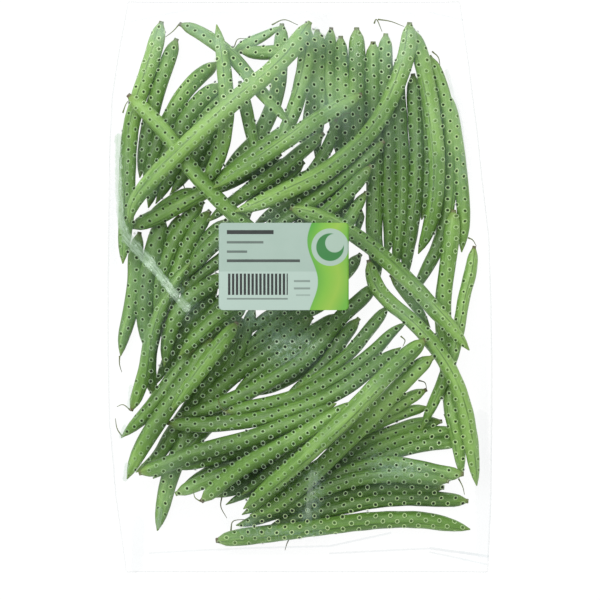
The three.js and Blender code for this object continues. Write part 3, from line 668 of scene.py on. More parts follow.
def tube_faces(rings, sides, offset=0):
    """Faces and UVs of a tube of rings with a point at each end. Its points are the first end, the
    rings one after another, and the last end."""
    k, n = np.meshgrid(np.arange(rings - 1), np.arange(sides), indexing="ij")
    after = (n + 1) % sides
    ring = 1 + offset
    walls = np.stack(
        [ring + k * sides + n, ring + k * sides + after, ring + (k + 1) * sides + after,
         ring + (k + 1) * sides + n], axis=-1
    ).reshape(-1, 4)
    v0, v1 = n / sides, (n + 1) / sides
    u0, u1 = k / (rings - 1), (k + 1) / (rings - 1)
    uv = np.stack([np.stack(pair, -1) for pair in ((u0, v0), (u0, v1), (u1, v1), (u1, v0))], axis=2)
    n = np.arange(sides)
    after = (n + 1) % sides
    first = np.full(sides, offset)
    last = np.full(sides, offset + rings * sides + 1)
    near = ring + n
    far = ring + (rings - 1) * sides
    caps = [
        np.stack([near + 0, first, ring + after, ring + after], axis=-1),
        np.stack([far + n, far + after, last, last], axis=-1),
    ]
    cap_uv = [np.zeros((sides, 4, 2)), np.ones((sides, 4, 2))]
    faces = np.vstack([walls] + caps)
    return faces, np.vstack([uv.reshape(-1, 4, 2)] + cap_uv)


def path_frames(path):
    """Unit vectors along a path, across it on the level, and square to both."""
    along = np.gradient(path, axis=0)
    along /= np.linalg.norm(along, axis=1)[:, None]
    side = np.cross([0.0, 0.0, 1.0], along)
    side /= np.linalg.norm(side, axis=1)[:, None]
    return along, side, np.cross(along, side)


def tube_points(path, radius):
    """Points of a tube whose radius is a table of one value for each ring and side. Each ring is
    centre + side * r cos(turn) + up * r sin(turn)."""
    sides = radius.shape[1]
    _, side, up = path_frames(path)
    turn = 2 * np.pi * np.arange(sides) / sides
    ring = side[:, None] * np.cos(turn)[None, :, None] + up[:, None] * np.sin(turn)[None, :, None]
    points = path[:, None] + radius[:, :, None] * ring
    return np.vstack([path[:1], points.reshape(-1, 3), path[-1:]])


def smooth_run(values, width):
    """A running mean with a bell of this width, in samples, that keeps the ends."""
    reach = int(3 * width) + 1
    bell = np.exp(-0.5 * (np.arange(-reach, reach + 1) / width) ** 2)
    padded = np.pad(values, reach, mode="reflect", reflect_type="odd")
    return np.convolve(padded, bell / bell.sum(), "valid")


def pod_path(pod, rings):
    """The smooth middle line of a laid pod in plan and height, and its length."""
    t = np.linspace(0, 1, rings)
    shares = t - POD_END_CROWD * np.sin(2 * np.pi * t) / (2 * np.pi)
    plan = even_points(pod.points, shares)
    run = pod.ring_run()
    even = np.linspace(0, 1, 4 * rings)
    level = smooth_run(np.interp(even * run[-1], run, pod.z), 4 * rings * POD_SMOOTHING / run[-1])
    return np.column_stack([plan, np.interp(shares, even, level)]), shares, run[-1]


def pod_profile(run, length, draw):
    """Radius along a pod as a share of its girth, against the distance from both ends: a narrow stub, a
    rounded neck, an even body, and a long taper to a thin tip."""
    neck = np.interp(run, POD_NECK_RUN, POD_NECK)
    tip = np.interp(length - run, POD_TIP_RUN, POD_TIP)
    waves = POD_WAVE * np.sin(run / draw.uniform(6, 10) + draw.uniform(0, 6))
    return np.minimum(neck, tip) * (1 + waves * smooth_step(0, 20, np.minimum(run, length - run)))


def with_ends(table):
    """A table of one value for each ring and side as one run, with a value for the point at each end."""
    return np.concatenate([[table[0, 0]], table.ravel(), [table[-1, -1]]])


def pod_tube(pod, index, rings, sides, swell_by, roll=None):
    """A pod: along its middle line the section is an oval, 1 + OVAL cos(2a), with a low ridge on its two
    seams and a swelling on each flank over every seed. The oval turns slowly along the pod, from the
    roll given or a random one, and its girth is that of the solid pod times swell_by."""
    draw = np.random.default_rng(SEED + index)
    path, shares, length = pod_path(pod, rings)
    run = shares * length
    spacing = draw.uniform(*SEED_SPACING)
    first = draw.uniform(*SEED_FIRST)
    seeds = np.arange(first, length - SEED_LAST, spacing)
    seeds = seeds + draw.normal(0, SEED_JITTER, len(seeds))
    sizes = draw.uniform(*SEED_SIZES, len(seeds)) * SEED_BULGE
    swell = (sizes * np.exp(-(((run[:, None] - seeds) / SEED_WIDTH) ** 2))).sum(axis=1)
    drawn = draw.uniform(0, np.pi)
    drift = draw.uniform(-ROLL_DRIFT, ROLL_DRIFT) * shares
    roll = (drawn if roll is None else roll) + drift * (ROLL_HELD if roll else 1)
    turn = 2 * np.pi * np.arange(sides) / sides
    angle = turn[None] - roll[:, None]
    flank = np.cos(angle) ** 2
    seam = np.exp(-((np.cos(angle) / SEAM_WIDTH) ** 2))
    body = pod_profile(run, length, draw)
    radius = swell_by * pod.girth * body[:, None] * (
        1 - OVAL * np.cos(2 * angle) + swell[:, None] * flank + SEAM_RIDGE * seam
    )
    radius = np.maximum(radius, RADIUS_MIN)
    verts = tube_points(path, radius)
    faces, uv = tube_faces(rings, sides)
    across = np.broadcast_to(run[:, None], angle.shape)
    grain = np.stack([np.cos(angle), np.sin(angle), across / 10 + 37.0 * index], axis=-1)
    grain = np.vstack([grain[:1, 0], grain.reshape(-1, 3), grain[-1:, 0]])
    from_tip = np.broadcast_to((length - run)[:, None], angle.shape)
    return verts, faces, uv, {
        "grain": grain,
        "from_stem": with_ends(across),
        "from_tip": with_ends(from_tip),
        "seam": with_ends(seam),
    }


def wisp_tube(row, start, rings=18, sides=6):
    """A thin dry tip: a tube along a smooth line through the listed plan points, from the height of the
    pod's end, thinning to a hair and lifting or sinking a little on the way."""
    shares = np.linspace(0, 1, rings)
    plan = even_points(np.reshape(row, (-1, 2)), shares)
    rise = WISP_RISE * np.sin(shares * np.pi * 1.3)
    path = np.column_stack([plan, start + rise])
    radius = np.interp(shares, (0, 0.25, 1), WISP_RADII)
    verts = tube_points(path, np.repeat(radius[:, None], sides, axis=1))
    faces, uv = tube_faces(rings, sides)
    count = len(verts)
    return verts, faces, uv, {
        "grain": verts / 10,
        "from_stem": np.zeros(count),
        "from_tip": np.zeros(count),
        "seam": np.zeros(count),
    }


def join_parts(parts):
    """Several meshes as one: points, faces, UVs and attributes one after another."""
    starts = np.cumsum([0] + [len(part[0]) for part in parts[:-1]])
    verts = np.vstack([part[0] for part in parts])
    faces = np.vstack([part[1] + start for part, start in zip(parts, starts)])
    uv = np.vstack([part[2] for part in parts])
    keys = parts[0][3]
    return verts, faces, uv, {key: np.concatenate([part[3][key] for part in parts]) for key in keys}


# ---------------------------------------------------------------- the film


def pod_tops(laid_pods, xs, ys):
    """Height of the pods' upper side over a grid: at each point the highest z + sqrt(r^2 - d^2) of the
    spheres on the pods' middle lines, and minus infinity where there is none."""
    tops = np.full((len(ys), len(xs)), -np.inf)
    for pod in laid_pods:
        path, shares, length = pod_path(pod, int(length_of(pod)) + 2)
        body = np.minimum(
            np.interp(shares * length, POD_NECK_RUN, POD_NECK),
            np.interp((1 - shares) * length, POD_TIP_RUN, POD_TIP),
        )
        r = pod.girth * body * FILM_SWELL
        lo, hi = path.min(axis=0) - r.max(), path.max(axis=0) + r.max()
        i0, i1 = np.searchsorted(xs, (lo[0], hi[0]))
        j0, j1 = np.searchsorted(ys, (lo[1], hi[1]))
        dx = xs[None, i0:i1, None] - path[:, 0]
        dy = ys[j0:j1, None, None] - path[:, 1]
        left = r**2 - dx**2 - dy**2
        z = np.where(left > 0, path[:, 2] + np.sqrt(np.maximum(left, 0)), -np.inf).max(axis=2)
        tops[j0:j1, i0:i1] = np.maximum(tops[j0:j1, i0:i1], z)
    return tops


def length_of(pod):
    """Length of the pod's middle line."""
    return pod.ring_run()[-1]


def widest_of(table, reach):
    """The highest value within reach cells, row by row and then column by column."""
    for axis in (0, 1):
        shifted = [np.roll(table, k, axis=axis) for k in range(-reach, reach + 1)]
        table = np.max(shifted, axis=0)
    return table


def mean_of(table, rounds):
    """The table after this many rounds of averaging each value with its four neighbours."""
    for _ in range(rounds):
        padded = np.pad(table, 1, mode="edge")
        table = (
            padded[:-2, 1:-1] + padded[2:, 1:-1] + padded[1:-1, :-2] + padded[1:-1, 2:] + 2 * table
        ) / 6
    return table


def noise_field(shape, size, seed):
    """Soft random relief from -1 to 1: random values smoothed over this many cells."""
    draw = np.random.default_rng(seed)
    field = mean_of(draw.uniform(-1, 1, shape), size)
    return field / np.abs(field).max()


def strand_mask(strands, gx, gy):
    """How much a point belongs to a listed strand: exp(-(d / width)^2) of the distance to its line."""
    mask = np.zeros(gx.shape)
    for width, strength, *row in strands:
        points = even_points(np.reshape(row, (-1, 2)), np.linspace(0, 1, 60))
        d2 = (gx[..., None] - points[:, 0]) ** 2 + (gy[..., None] - points[:, 1]) ** 2
        mask = np.maximum(mask, strength * np.exp(-d2.min(axis=-1) / width**2))
    return mask


def under_label(x, y, skirt):
    """1 under the sticker, falling to 0 within this distance of it."""
    sides = (x - LABEL_WEST, LABEL_EAST - x, y - LABEL_SOUTH, LABEL_NORTH - y)
    return np.prod([smooth_step(-skirt, 0, side) for side in sides], axis=0)


def film_relief(laid_pods, level):
    """The film's upper sheet on a grid of the bag's plan: a sheet drawn tight over the pods, pressed flat
    in the two seals, and nearly level at the given height under the sticker, from where it slopes down
    over LABEL_SLOPE. Elsewhere its height is the higher of what lies under it and the mean of its
    neighbours, taken over and over."""
    rows = np.linspace(BAG_SOUTH, BAG_NORTH, FILM_ROWS)
    shares = np.linspace(0, 1, FILM_COLUMNS)
    gy = np.repeat(rows[:, None], FILM_COLUMNS, axis=1)
    gx = left_edge(gy) + shares[None] * (right_edge(gy) - left_edge(gy))
    xs = np.arange(*FILM_GRID_X, FILM_PITCH)
    ys = np.arange(*FILM_GRID_Y, FILM_PITCH)
    tops = pod_tops(laid_pods, xs, ys)
    mesh_x, mesh_y = np.meshgrid(xs, ys)
    low = underside(mesh_x, mesh_y) + FILM_RIM
    under = np.maximum(widest_of(np.maximum(tops + FILM_CLEAR, 0), 1), low)
    inside = np.minimum(mesh_x - left_edge(mesh_y), right_edge(mesh_y) - mesh_x)
    sealed = (mesh_y < BAG_SOUTH + SEAL_SOUTH) | (mesh_y > BAG_NORTH - SEAL_NORTH) | (inside < 1)
    under = np.where(sealed, low, under)
    sheet = np.where(sealed, low, mean_of(widest_of(under, FILM_REACH), 6))
    for _ in range(FILM_ROUNDS):
        sheet = np.where(sealed, low, np.maximum(under, mean_of(sheet, 1)))
    waves = LABEL_WAVE * (np.sin(mesh_x / 9 + mesh_y / 23) + np.sin(mesh_y / 11 - mesh_x / 31))
    held = level - LABEL_LIFT + waves
    sheet = sheet + under_label(mesh_x, mesh_y, LABEL_SLOPE) * np.maximum(held - sheet, 0)
    share = under_label(mesh_x, mesh_y, LABEL_SKIRT)
    sheet = sheet * (1 - share) + share * held
    backed = mean_of((tops > 0).astype(float), 1)
    return xs, ys, sheet, np.where(tops > 0, sheet - tops, GAP_EMPTY), backed, gx, gy


def at_points(xs, ys, table, x, y):
    """The table between its grid points: the mean of its four corners, weighted by nearness."""
    fx = np.clip((x - xs[0]) / (xs[1] - xs[0]), 0, len(xs) - 1.001)
    fy = np.clip((y - ys[0]) / (ys[1] - ys[0]), 0, len(ys) - 1.001)
    i, j = fx.astype(int), fy.astype(int)
    u, v = fx - i, fy - j
    low = table[j, i] * (1 - u) + table[j, i + 1] * u
    high = table[j + 1, i] * (1 - u) + table[j + 1, i + 1] * u
    return low * (1 - v) + high * v


def grid_quads(numbers):
    """The faces of four corners of a grid of point numbers, turned to face up."""
    corners = [numbers[:-1, :-1], numbers[:-1, 1:], numbers[1:, 1:], numbers[1:, :-1]]
    return np.stack(corners, axis=-1).reshape(-1, 4)


def film_mesh(laid_pods, level):
    """The bag as a closed pillow: an upper sheet over the pods and a lower sheet on the table, which
    share their rim."""
    xs, ys, sheet, gap, backed, gx, gy = film_relief(laid_pods, level)
    top = at_points(xs, ys, sheet, gx, gy)
    ruffle = sum(
        noise_field(top.shape, cells, SEED + k) * high for k, (cells, high) in enumerate(RUFFLES, start=1)
    )
    rim = np.ones(top.shape, bool)
    rim[1:-1, 1:-1] = False
    inner = np.minimum(gx - left_edge(gy), right_edge(gy) - gx)
    inner = np.minimum(inner, np.minimum(gy - BAG_SOUTH, BAG_NORTH - gy))
    low = underside(gx, gy)
    loose = smooth_step(*FILM_LOOSE, inner) * (1 - under_label(gx, gy, LABEL_SKIRT))
    top = top + np.maximum(ruffle, 0) * loose * FILM_RUFFLE
    top = np.where(rim, low + FILM_RIM, np.maximum(top, low + FILM_OPEN))
    count = top.size
    order = np.arange(count).reshape(top.shape)
    lower = order.copy()
    lower[1:-1, 1:-1] = count + np.arange((top.shape[0] - 2) * (top.shape[1] - 2)).reshape(
        top.shape[0] - 2, -1
    )
    upper_points = np.stack([gx, gy, top], axis=-1).reshape(-1, 3)
    bottom_points = np.stack([gx, gy, low], axis=-1)[1:-1, 1:-1].reshape(-1, 3)
    faces = np.vstack([grid_quads(order), grid_quads(lower)[:, ::-1]])
    verts = np.vstack([upper_points, bottom_points])
    uv = verts[faces][..., :2] / UV_UNIT
    tables = {
        "gap": np.clip(at_points(xs, ys, gap, gx, gy), 0, GAP_MOST),
        "backed": at_points(xs, ys, backed, gx, gy),
        "crease": strand_mask(CREASES, gx, gy),
        "haze_and_glare": strand_mask(HAZE_AND_GLARE, gx, gy),
        "ringed": strand_mask(RINGED, gx, gy),
        "upper": np.where(rim, 0.5, 1.0),
    }
    lower_side = np.zeros(len(bottom_points))
    return verts, faces, uv, {
        key: np.concatenate([table.ravel(), lower_side]) for key, table in tables.items()
    }


def label_mesh(laid_pods, level):
    """The sticker: a thin closed card on the film, its corners rounded by drawing each row's ends in,
    c - sqrt(c^2 - t^2) for the rows within c of an end."""
    xs, ys, sheet = film_relief(laid_pods, level)[:3]
    c = LABEL_CORNER
    along = np.sort(np.concatenate([
        np.linspace(LABEL_SOUTH + c, LABEL_NORTH - c, LABEL_ROWS),
        LABEL_SOUTH + c - c * np.sin(np.linspace(0.15, np.pi / 2, 7)),
        LABEL_NORTH - c + c * np.sin(np.linspace(0.15, np.pi / 2, 7)),
    ]))
    past = np.maximum(np.maximum(LABEL_SOUTH + c - along, along - LABEL_NORTH + c), 0)
    inset = c - np.sqrt(np.maximum(c**2 - past**2, 0))
    share = np.linspace(0, 1, LABEL_COLUMNS)
    west, east = LABEL_WEST + inset, LABEL_EAST - inset
    gx = west[:, None] + share[None] * (east - west)[:, None]
    gy = np.repeat(along[:, None], LABEL_COLUMNS, axis=1)
    z = at_points(xs, ys, sheet, gx, gy) + LABEL_LIFT
    rows, columns = gx.shape
    count = rows * columns
    top = np.stack([gx, gy, z + LABEL_CARD], axis=-1).reshape(-1, 3)
    bottom = np.stack([gx, gy, z], axis=-1).reshape(-1, 3)
    order = np.arange(count).reshape(rows, columns)
    edge = np.concatenate([order[0], order[1:, -1], order[-1, -2::-1], order[-2:0:-1, 0]])
    after = np.roll(edge, -1)
    sides = np.stack([edge + count, after + count, after, edge], axis=-1)
    faces = np.vstack([grid_quads(order), grid_quads(order)[:, ::-1] + count, sides])
    verts = np.vstack([top, bottom])
    uv = verts[faces][..., :2] - (LABEL_WEST, LABEL_SOUTH)
    return verts, faces, uv / UV_UNIT, {}


# ---------------------------------------------------------------- materials


def srgb(r, g, b):
    """A colour from 0-255 screen values, as linear light with full opacity."""
    share = np.array([r, g, b]) / 255
    linear = np.where(share <= 0.04045, share / 12.92, ((share + 0.055) / 1.055) ** 2.4)
    return (*linear.tolist(), 1.0)


class Wiring:
    """Adds nodes to a tree and links them; every argument is a socket or a plain value."""

    def __init__(self, tree):
        self.tree = tree

    def add(self, kind, **settings):
        """A new node with these settings."""
        node = self.tree.nodes.new(kind)
        for key, value in settings.items():
            setattr(node, key, value)
        return node

    def put(self, socket, value):
        """Links a socket to this one, or sets its value."""
        if isinstance(value, bpy.types.NodeSocket):
            self.tree.links.new(value, socket)
        elif value is not None:
            socket.default_value = value

    def math(self, operation, a, b=None, c=None, clamp=False):
        """The result of a number operation."""
        node = self.add("ShaderNodeMath", operation=operation, use_clamp=clamp)
        for socket, value in zip(node.inputs, (a, b, c)):
            self.put(socket, value)
        return node.outputs[0]

    def times(self, a, b):
        """The product of two numbers."""
        return self.math("MULTIPLY", a, b)

    def vector(self, operation, a, b=None, scale=None):
        """The result of a vector operation: a number for a length or a dot product."""
        node = self.add("ShaderNodeVectorMath", operation=operation)
        self.put(node.inputs[0], a)
        self.put(node.inputs[1], b)
        if scale is not None:
            self.put(node.inputs["Scale"], scale)
        return node.outputs["Value" if operation in ("LENGTH", "DOT_PRODUCT") else "Vector"]

    def attribute(self, name, field="Fac"):
        """A value stored on the mesh's points."""
        return self.add("ShaderNodeAttribute", attribute_name=name).outputs[field]

    def noise(self, vector, scale, detail=2.0, roughness=0.5):
        """Cloudy noise from about 0 to 1."""
        node = self.add("ShaderNodeTexNoise")
        self.put(node.inputs["Vector"], vector)
        self.put(node.inputs["Scale"], scale)
        self.put(node.inputs["Detail"], detail)
        self.put(node.inputs["Roughness"], roughness)
        return node.outputs["Fac"]

    def step(self, value, low, high, to_low=0.0, to_high=1.0):
        """A smooth step from to_low at low to to_high at high."""
        node = self.add("ShaderNodeMapRange", interpolation_type="SMOOTHSTEP")
        for socket, number in zip(node.inputs, (value, low, high, to_low, to_high)):
            self.put(socket, number)
        return node.outputs[0]

    def mix(self, share, a, b, kind="RGBA"):
        """a where share is 0, b where it is 1: colours, or numbers or vectors by the kind."""
        first, result = {"FLOAT": (2, 0), "VECTOR": (4, 1), "RGBA": (6, 2)}[kind]
        node = self.add("ShaderNodeMix", data_type=kind)
        self.put(node.inputs[0], share)
        self.put(node.inputs[first], a)
        self.put(node.inputs[first + 1], b)
        return node.outputs[result]

    def ramp(self, value, stops):
        """A colour between the listed stops, each a place and a colour."""
        node = self.add("ShaderNodeValToRGB")
        ramp = node.color_ramp
        while len(ramp.elements) < len(stops):
            ramp.elements.new(0.5)
        for element, (place, colour) in zip(ramp.elements, stops):
            element.position = place
            element.color = colour
        self.put(node.inputs[0], value)
        return node.outputs["Color"]


def new_group(name, outputs):
    """An empty node group with these outputs, and its wiring and output node."""
    tree = bpy.data.node_groups.new(name, "ShaderNodeTree")
    for label, kind in outputs:
        tree.interface.new_socket(label, in_out="OUTPUT", socket_type=kind)
    wiring = Wiring(tree)
    return tree, wiring, wiring.add("NodeGroupOutput")


def new_material(name, group, sockets, settings, bump=None):
    """A Principled material: sockets of the group feed its inputs of the same name or the one mapped
    to, the settings are set on the shader itself, and bump is the strength and distance of Height."""
    material = bpy.data.materials.new(name)
    material.use_nodes = True
    tree = material.node_tree
    tree.nodes.clear()
    wiring = Wiring(tree)
    shader = wiring.add("ShaderNodeBsdfPrincipled")
    out = wiring.add("ShaderNodeOutputMaterial")
    tree.links.new(shader.outputs[0], out.inputs["Surface"])
    for key, value in settings.items():
        shader.inputs[key].default_value = value
    if group is not None:
        look = wiring.add("ShaderNodeGroup")
        look.node_tree = group
        for source, target in sockets.items():
            tree.links.new(look.outputs[source], shader.inputs[target])
        if bump is not None:
            lift = wiring.add("ShaderNodeBump")
            lift.inputs["Strength"].default_value = bump[0]
            lift.inputs["Distance"].default_value = bump[1]
            tree.links.new(look.outputs["Height"], lift.inputs["Height"])
            tree.links.new(lift.outputs["Normal"], shader.inputs["Normal"])
    return material


def pod_material(settings):
    """The pods' skin: green by each pod's brightness, partly its own colour and partly painted light and
    shade, with broad and fine streaks along it, the broad ones set strong to paint one flank lighter than the
    other, paler ends, a dry brown stub, a dark broken line on the seams that paints the shade of their
    groove, and a few scars."""
    tree, w, out = new_group(
        "Pod skin look",
        (("Color", "NodeSocketColor"), ("Roughness", "NodeSocketFloat"), ("Height", "NodeSocketFloat")),
    )
    grain = w.attribute("grain", "Vector")
    # Brightness of each pod: partly its own colour, partly painted shade of the low bunches and pools of
    # painted light.
    tone_and_light = w.attribute("tone_and_light")
    stem = w.attribute("from_stem")
    tip = w.attribute("from_tip")
    # Painted shade, in part: broad bands round the pod, partly the skin's own colour, set strong so that one
    # flank shows lighter than the other.
    flank_bands = w.noise(w.vector("MULTIPLY", grain, (1.3, 1.3, 0.22)), 1.0, 2.0)
    streaks = w.noise(w.vector("MULTIPLY", grain, (4.5, 4.5, 0.5)), 1.0, 3.0, 0.6)
    patches = w.noise(w.vector("MULTIPLY", grain, (0.8, 0.8, 0.9)), 1.0, 2.0)
    fibres = w.noise(w.vector("MULTIPLY", grain, (9.0, 9.0, 1.5)), 1.0, 2.0)
    shade = w.math("MULTIPLY_ADD", streaks, 0.5, w.math("MULTIPLY_ADD", patches, 0.42, -0.92))
    shade = w.math("ADD", tone_and_light, w.math("MULTIPLY_ADD", flank_bands, 0.9, shade))
    low, middle, high, top = (tuple(getattr(settings, key)) for key in ("deep", "mid", "fresh", "light"))
    colour = w.ramp(shade, ((0.0, low), (0.35, middle), (0.7, high), (1.0, top)))
    pale = w.math("MAXIMUM", w.step(stem, 7.0, 1.5), w.step(tip, 6.0, 0.5))
    colour = w.mix(w.times(pale, 0.5), colour, tuple(settings.end))
    dried = w.step(w.noise(w.vector("MULTIPLY", grain, (0.0, 0.0, 0.05)), 1.0, 0.0), 0.35, 0.6, 0.25, 1.0)
    colour = w.mix(w.times(w.step(stem, 2.0, 0.8), dried), colour, tuple(settings.dry))
    across = w.add("ShaderNodeSeparateXYZ")
    w.put(across.inputs[0], grain)
    # Painted shade: a dark broken line along the seams stands for the shade in their groove, which the bump
    # also sinks.
    line = w.step(w.math("ABSOLUTE", across.outputs[0]), 0.12, 0.03)
    line = w.times(line, w.step(patches, 0.34, 0.52))
    colour = w.mix(w.times(line, 0.6), colour, low)
    scars = w.step(w.noise(w.vector("MULTIPLY", grain, (1.6, 1.6, 2.2)), 2.0, 2.0), 0.72, 0.78)
    colour = w.mix(w.times(scars, 0.45), colour, tuple(settings.dry))
    w.put(out.inputs["Color"], colour)
    w.put(out.inputs["Roughness"], w.math("MULTIPLY_ADD", streaks, 0.25, 0.32))
    w.put(out.inputs["Height"], w.math("MULTIPLY_ADD", line, -1.5, w.math("ADD", fibres, streaks)))
    return new_material(
        "pod_skin", tree, {"Color": "Base Color", "Roughness": "Roughness"},
        {"Specular IOR Level": 0.45}, bump=(0.3, 0.0006),
    )


def lattice_distance(w, plan, shift):
    """Distance in millimetres from the nearest point of an even lattice, moved by this shift."""
    cell = w.vector("DIVIDE", w.vector("ADD", plan, shift), (HOLE_PITCH_X, HOLE_PITCH_Y, 1000.0))
    centred = w.vector("SUBTRACT", w.vector("FRACTION", cell), (0.5, 0.5, 0.0))
    flat = w.vector("MULTIPLY", centred, (HOLE_PITCH_X, HOLE_PITCH_Y, 0.0))
    return w.vector("LENGTH", flat)


def segment_place(w, plan, x0, y0, x1, y1):
    """Distance from a straight line between two plan points, and the place along and across it."""
    length = math.hypot(x1 - x0, y1 - y0)
    along = ((x1 - x0) / length, (y1 - y0) / length, 0.0)
    start = w.vector("SUBTRACT", plan, (x0, y0, 0.0))
    run = w.vector("DOT_PRODUCT", start, along)
    side = w.vector("DOT_PRODUCT", start, (-along[1], along[0], 0.0))
    past = w.math("SUBTRACT", run, w.math("MINIMUM", w.math("MAXIMUM", run, 0.0), length))
    distance = w.math("SQRT", w.math("ADD", w.times(side, side), w.times(past, past)))
    return distance, run, side


def gathered(w, plan, strands):
    """How much a point belongs to the listed strands, from 0 to 1, with the place along and across the
    nearest: full within part of a strand's ragged half width, and gone at its edge."""
    ragged = w.math("ADD", w.noise(plan, 0.35, 2.0), 0.5)
    total, place = None, None
    for half_width, strength, *ends in strands:
        distance, run, side = segment_place(w, plan, *ends)
        reach = w.times(ragged, half_width)
        share = w.step(w.math("DIVIDE", distance, reach), 1.0, 0.6, 0.0, strength)
        lines = w.add("ShaderNodeCombineXYZ")
        w.put(lines.inputs[0], run)
        w.put(lines.inputs[1], side)
        if total is None:
            total, place = share, lines.outputs[0]
        else:
            place = w.mix(w.math("GREATER_THAN", share, total), place, lines.outputs[0], "VECTOR")
            total = w.math("MAXIMUM", total, share)
    return total, place


def film_material(settings):
    """Clear film: nearly see-through, with a pale veil in places, partly its own milkiness and partly
    painted glare, whiter and crinkled where it is gathered, its crinkles partly painted glints, and a
    staggered pattern of tiny holes, each a dark disc of painted shade in a thin pale ring."""
    tree, w, out = new_group(
        "Film look",
        (("Color", "NodeSocketColor"), ("Alpha", "NodeSocketFloat"), ("Height", "NodeSocketFloat"),
         ("Roughness", "NodeSocketFloat")),
    )
    place = w.add("ShaderNodeUVMap", uv_map="UVMap").outputs[0]
    plan = w.vector("SCALE", place, scale=UV_UNIT)
    backed = w.step(w.attribute("backed"), 0.55, 0.95)
    gap = w.attribute("gap")
    upper = w.attribute("upper")
    drift = w.add("ShaderNodeTexNoise")
    w.put(drift.inputs["Vector"], plan)
    w.put(drift.inputs["Scale"], 0.035)
    warp = w.vector("SCALE", w.vector("SUBTRACT", drift.outputs["Color"], (0.5, 0.5, 0.5)), scale=6.0)
    spread = w.vector("ADD", plan, warp)
    near = w.math("MINIMUM", lattice_distance(w, spread, (500.0, 500.0, 0.0)),
                  lattice_distance(w, spread, (500.0 + HOLE_PITCH_X / 2, 500.0 + HOLE_PITCH_Y / 2, 0.0)))
    shows = w.times(w.attribute("ringed"), w.step(w.noise(plan, 0.05, 2.0), 0.3, 0.65, 0.7, 1.0))
    ring = w.times(w.step(near, *RING_OUTSIDE), w.step(near, *RING_INSIDE))
    ring = w.times(w.times(ring, shows), w.times(backed, upper))
    # Painted shade: each of the holes gets a nearly opaque dark disc, stronger where the film stands further
    # off the pods.
    hole_shade_mask = w.times(w.step(near, *HOLE_EDGE), w.step(gap, 0.4, 5.0, 0.35, 1.0))
    hole_shade_mask = w.times(hole_shade_mask, w.times(backed, upper))
    cloud = w.noise(plan, 0.06, 4.0, 0.6)
    ridge_at = w.vector("MULTIPLY", plan, (0.11, 0.16, 0.0))
    ridges = w.math("ABSOLUTE", w.math("SUBTRACT", w.noise(ridge_at, 1.0, 4.0, 0.55), 0.5))
    fold = w.times(w.step(ridges, 0.03, 0.0), w.step(cloud, 0.45, 0.65))
    crinkles = w.math("ABSOLUTE", w.math("SUBTRACT", w.noise(plan, 0.24, 3.0, 0.6), 0.5))
    # Crinkles in the crumpled places, drawn as pale lines: partly the crumpled film's own look, partly
    # painted glints.
    crumple_glint = w.math("MULTIPLY_ADD", w.step(crinkles, 0.1, 0.0), 0.85, 0.15)
    crumple_glint = w.times(crumple_glint, w.attribute("crease"))
    strand, lines = gathered(w, plan, STRANDS)
    lines = w.noise(w.vector("MULTIPLY", lines, (0.16, 1.1, 0.0)), 1.0, 3.0, 0.6)
    strand = w.times(strand, w.step(lines, 0.36, 0.62, 0.5, 1.0))
    # Partly the film's milkiness and partly painted glare: a pale veil where the table of hazy places says.
    veil = w.times(w.attribute("haze_and_glare"), w.step(cloud, 0.3, 0.72, 0.35, 1.0))
    alpha = w.math("MULTIPLY_ADD", veil, VEIL_ALPHA, w.times(fold, FOLD_ALPHA))
    alpha = w.times(alpha, w.mix(backed, 0.15, 1.0, "FLOAT"))
    alpha = w.math("MULTIPLY_ADD", crumple_glint, w.mix(backed, 0.12, 0.45, "FLOAT"), alpha)
    alpha = w.math("MULTIPLY_ADD", ring, RING_ALPHA, alpha)
    alpha = w.mix(hole_shade_mask, alpha, HOLE_SHADE_ALPHA, "FLOAT")
    alpha = w.math("MAXIMUM", w.math("ADD", alpha, FILM_ALPHA), w.times(strand, STRAND_ALPHA))
    alpha = w.math("MAXIMUM", alpha, gathered(w, plan, FOLDS)[0])
    alpha = w.times(alpha, w.step(upper, 0.0, 1.0, 0.35, 1.0))
    shown = w.mix(backed, tuple(settings.clear), tuple(settings.haze_and_glare))
    shown = w.mix(ring, shown, tuple(settings.ring))
    shown = w.mix(w.step(hole_shade_mask, 0.0, 0.2), shown, tuple(settings.hole_shade))
    shown = w.mix(w.step(strand, 0.1, 0.5), shown, tuple(settings.strand))
    w.put(out.inputs["Color"], shown)
    w.put(out.inputs["Alpha"], w.math("MINIMUM", alpha, HOLE_SHADE_ALPHA))
    w.put(out.inputs["Height"], w.math("MULTIPLY_ADD", crinkles, -1.0, w.times(ridges, -1.5)))
    w.put(out.inputs["Roughness"], w.mix(hole_shade_mask, w.step(cloud, 0.3, 0.7, 0.12, 0.3), 1.0, "FLOAT"))
    material = new_material(
        "clear_film", tree, {"Color": "Base Color", "Roughness": "Roughness"},
        {"Specular IOR Level": 0.6}, bump=(0.35, 0.002),
    )
    inside = Wiring(material.node_tree)
    look = next(node for node in inside.tree.nodes if node.type == "GROUP")
    shader = next(node for node in inside.tree.nodes if node.type == "BSDF_PRINCIPLED")
    slant = inside.add("ShaderNodeLayerWeight")
    slant.inputs["Blend"].default_value = 0.5
    sheen = inside.math("MULTIPLY", inside.math("POWER", slant.outputs["Facing"], 3.0), 0.22)
    inside.put(shader.inputs["Alpha"], inside.math("ADD", look.outputs["Alpha"], sheen, clamp=True))
    return material


def box_mask(w, x, y, west, south, east, north):
    """1 inside a rectangle of the sticker, 0 outside, with edges 0.2 mm soft."""
    inside = w.times(w.step(x, west - 0.1, west + 0.1), w.step(x, east + 0.1, east - 0.1))
    level = w.times(w.step(y, south - 0.1, south + 0.1), w.step(y, north + 0.1, north - 0.1))
    return w.times(inside, level)


def disc_mask(w, plan, x, y, radius):
    """1 inside a disc of the sticker, 0 outside, with an edge 0.4 mm soft."""
    distance = w.vector("LENGTH", w.vector("SUBTRACT", plan, (x, y, 0.0)))
    return w.step(distance, radius + 0.2, radius - 0.2)


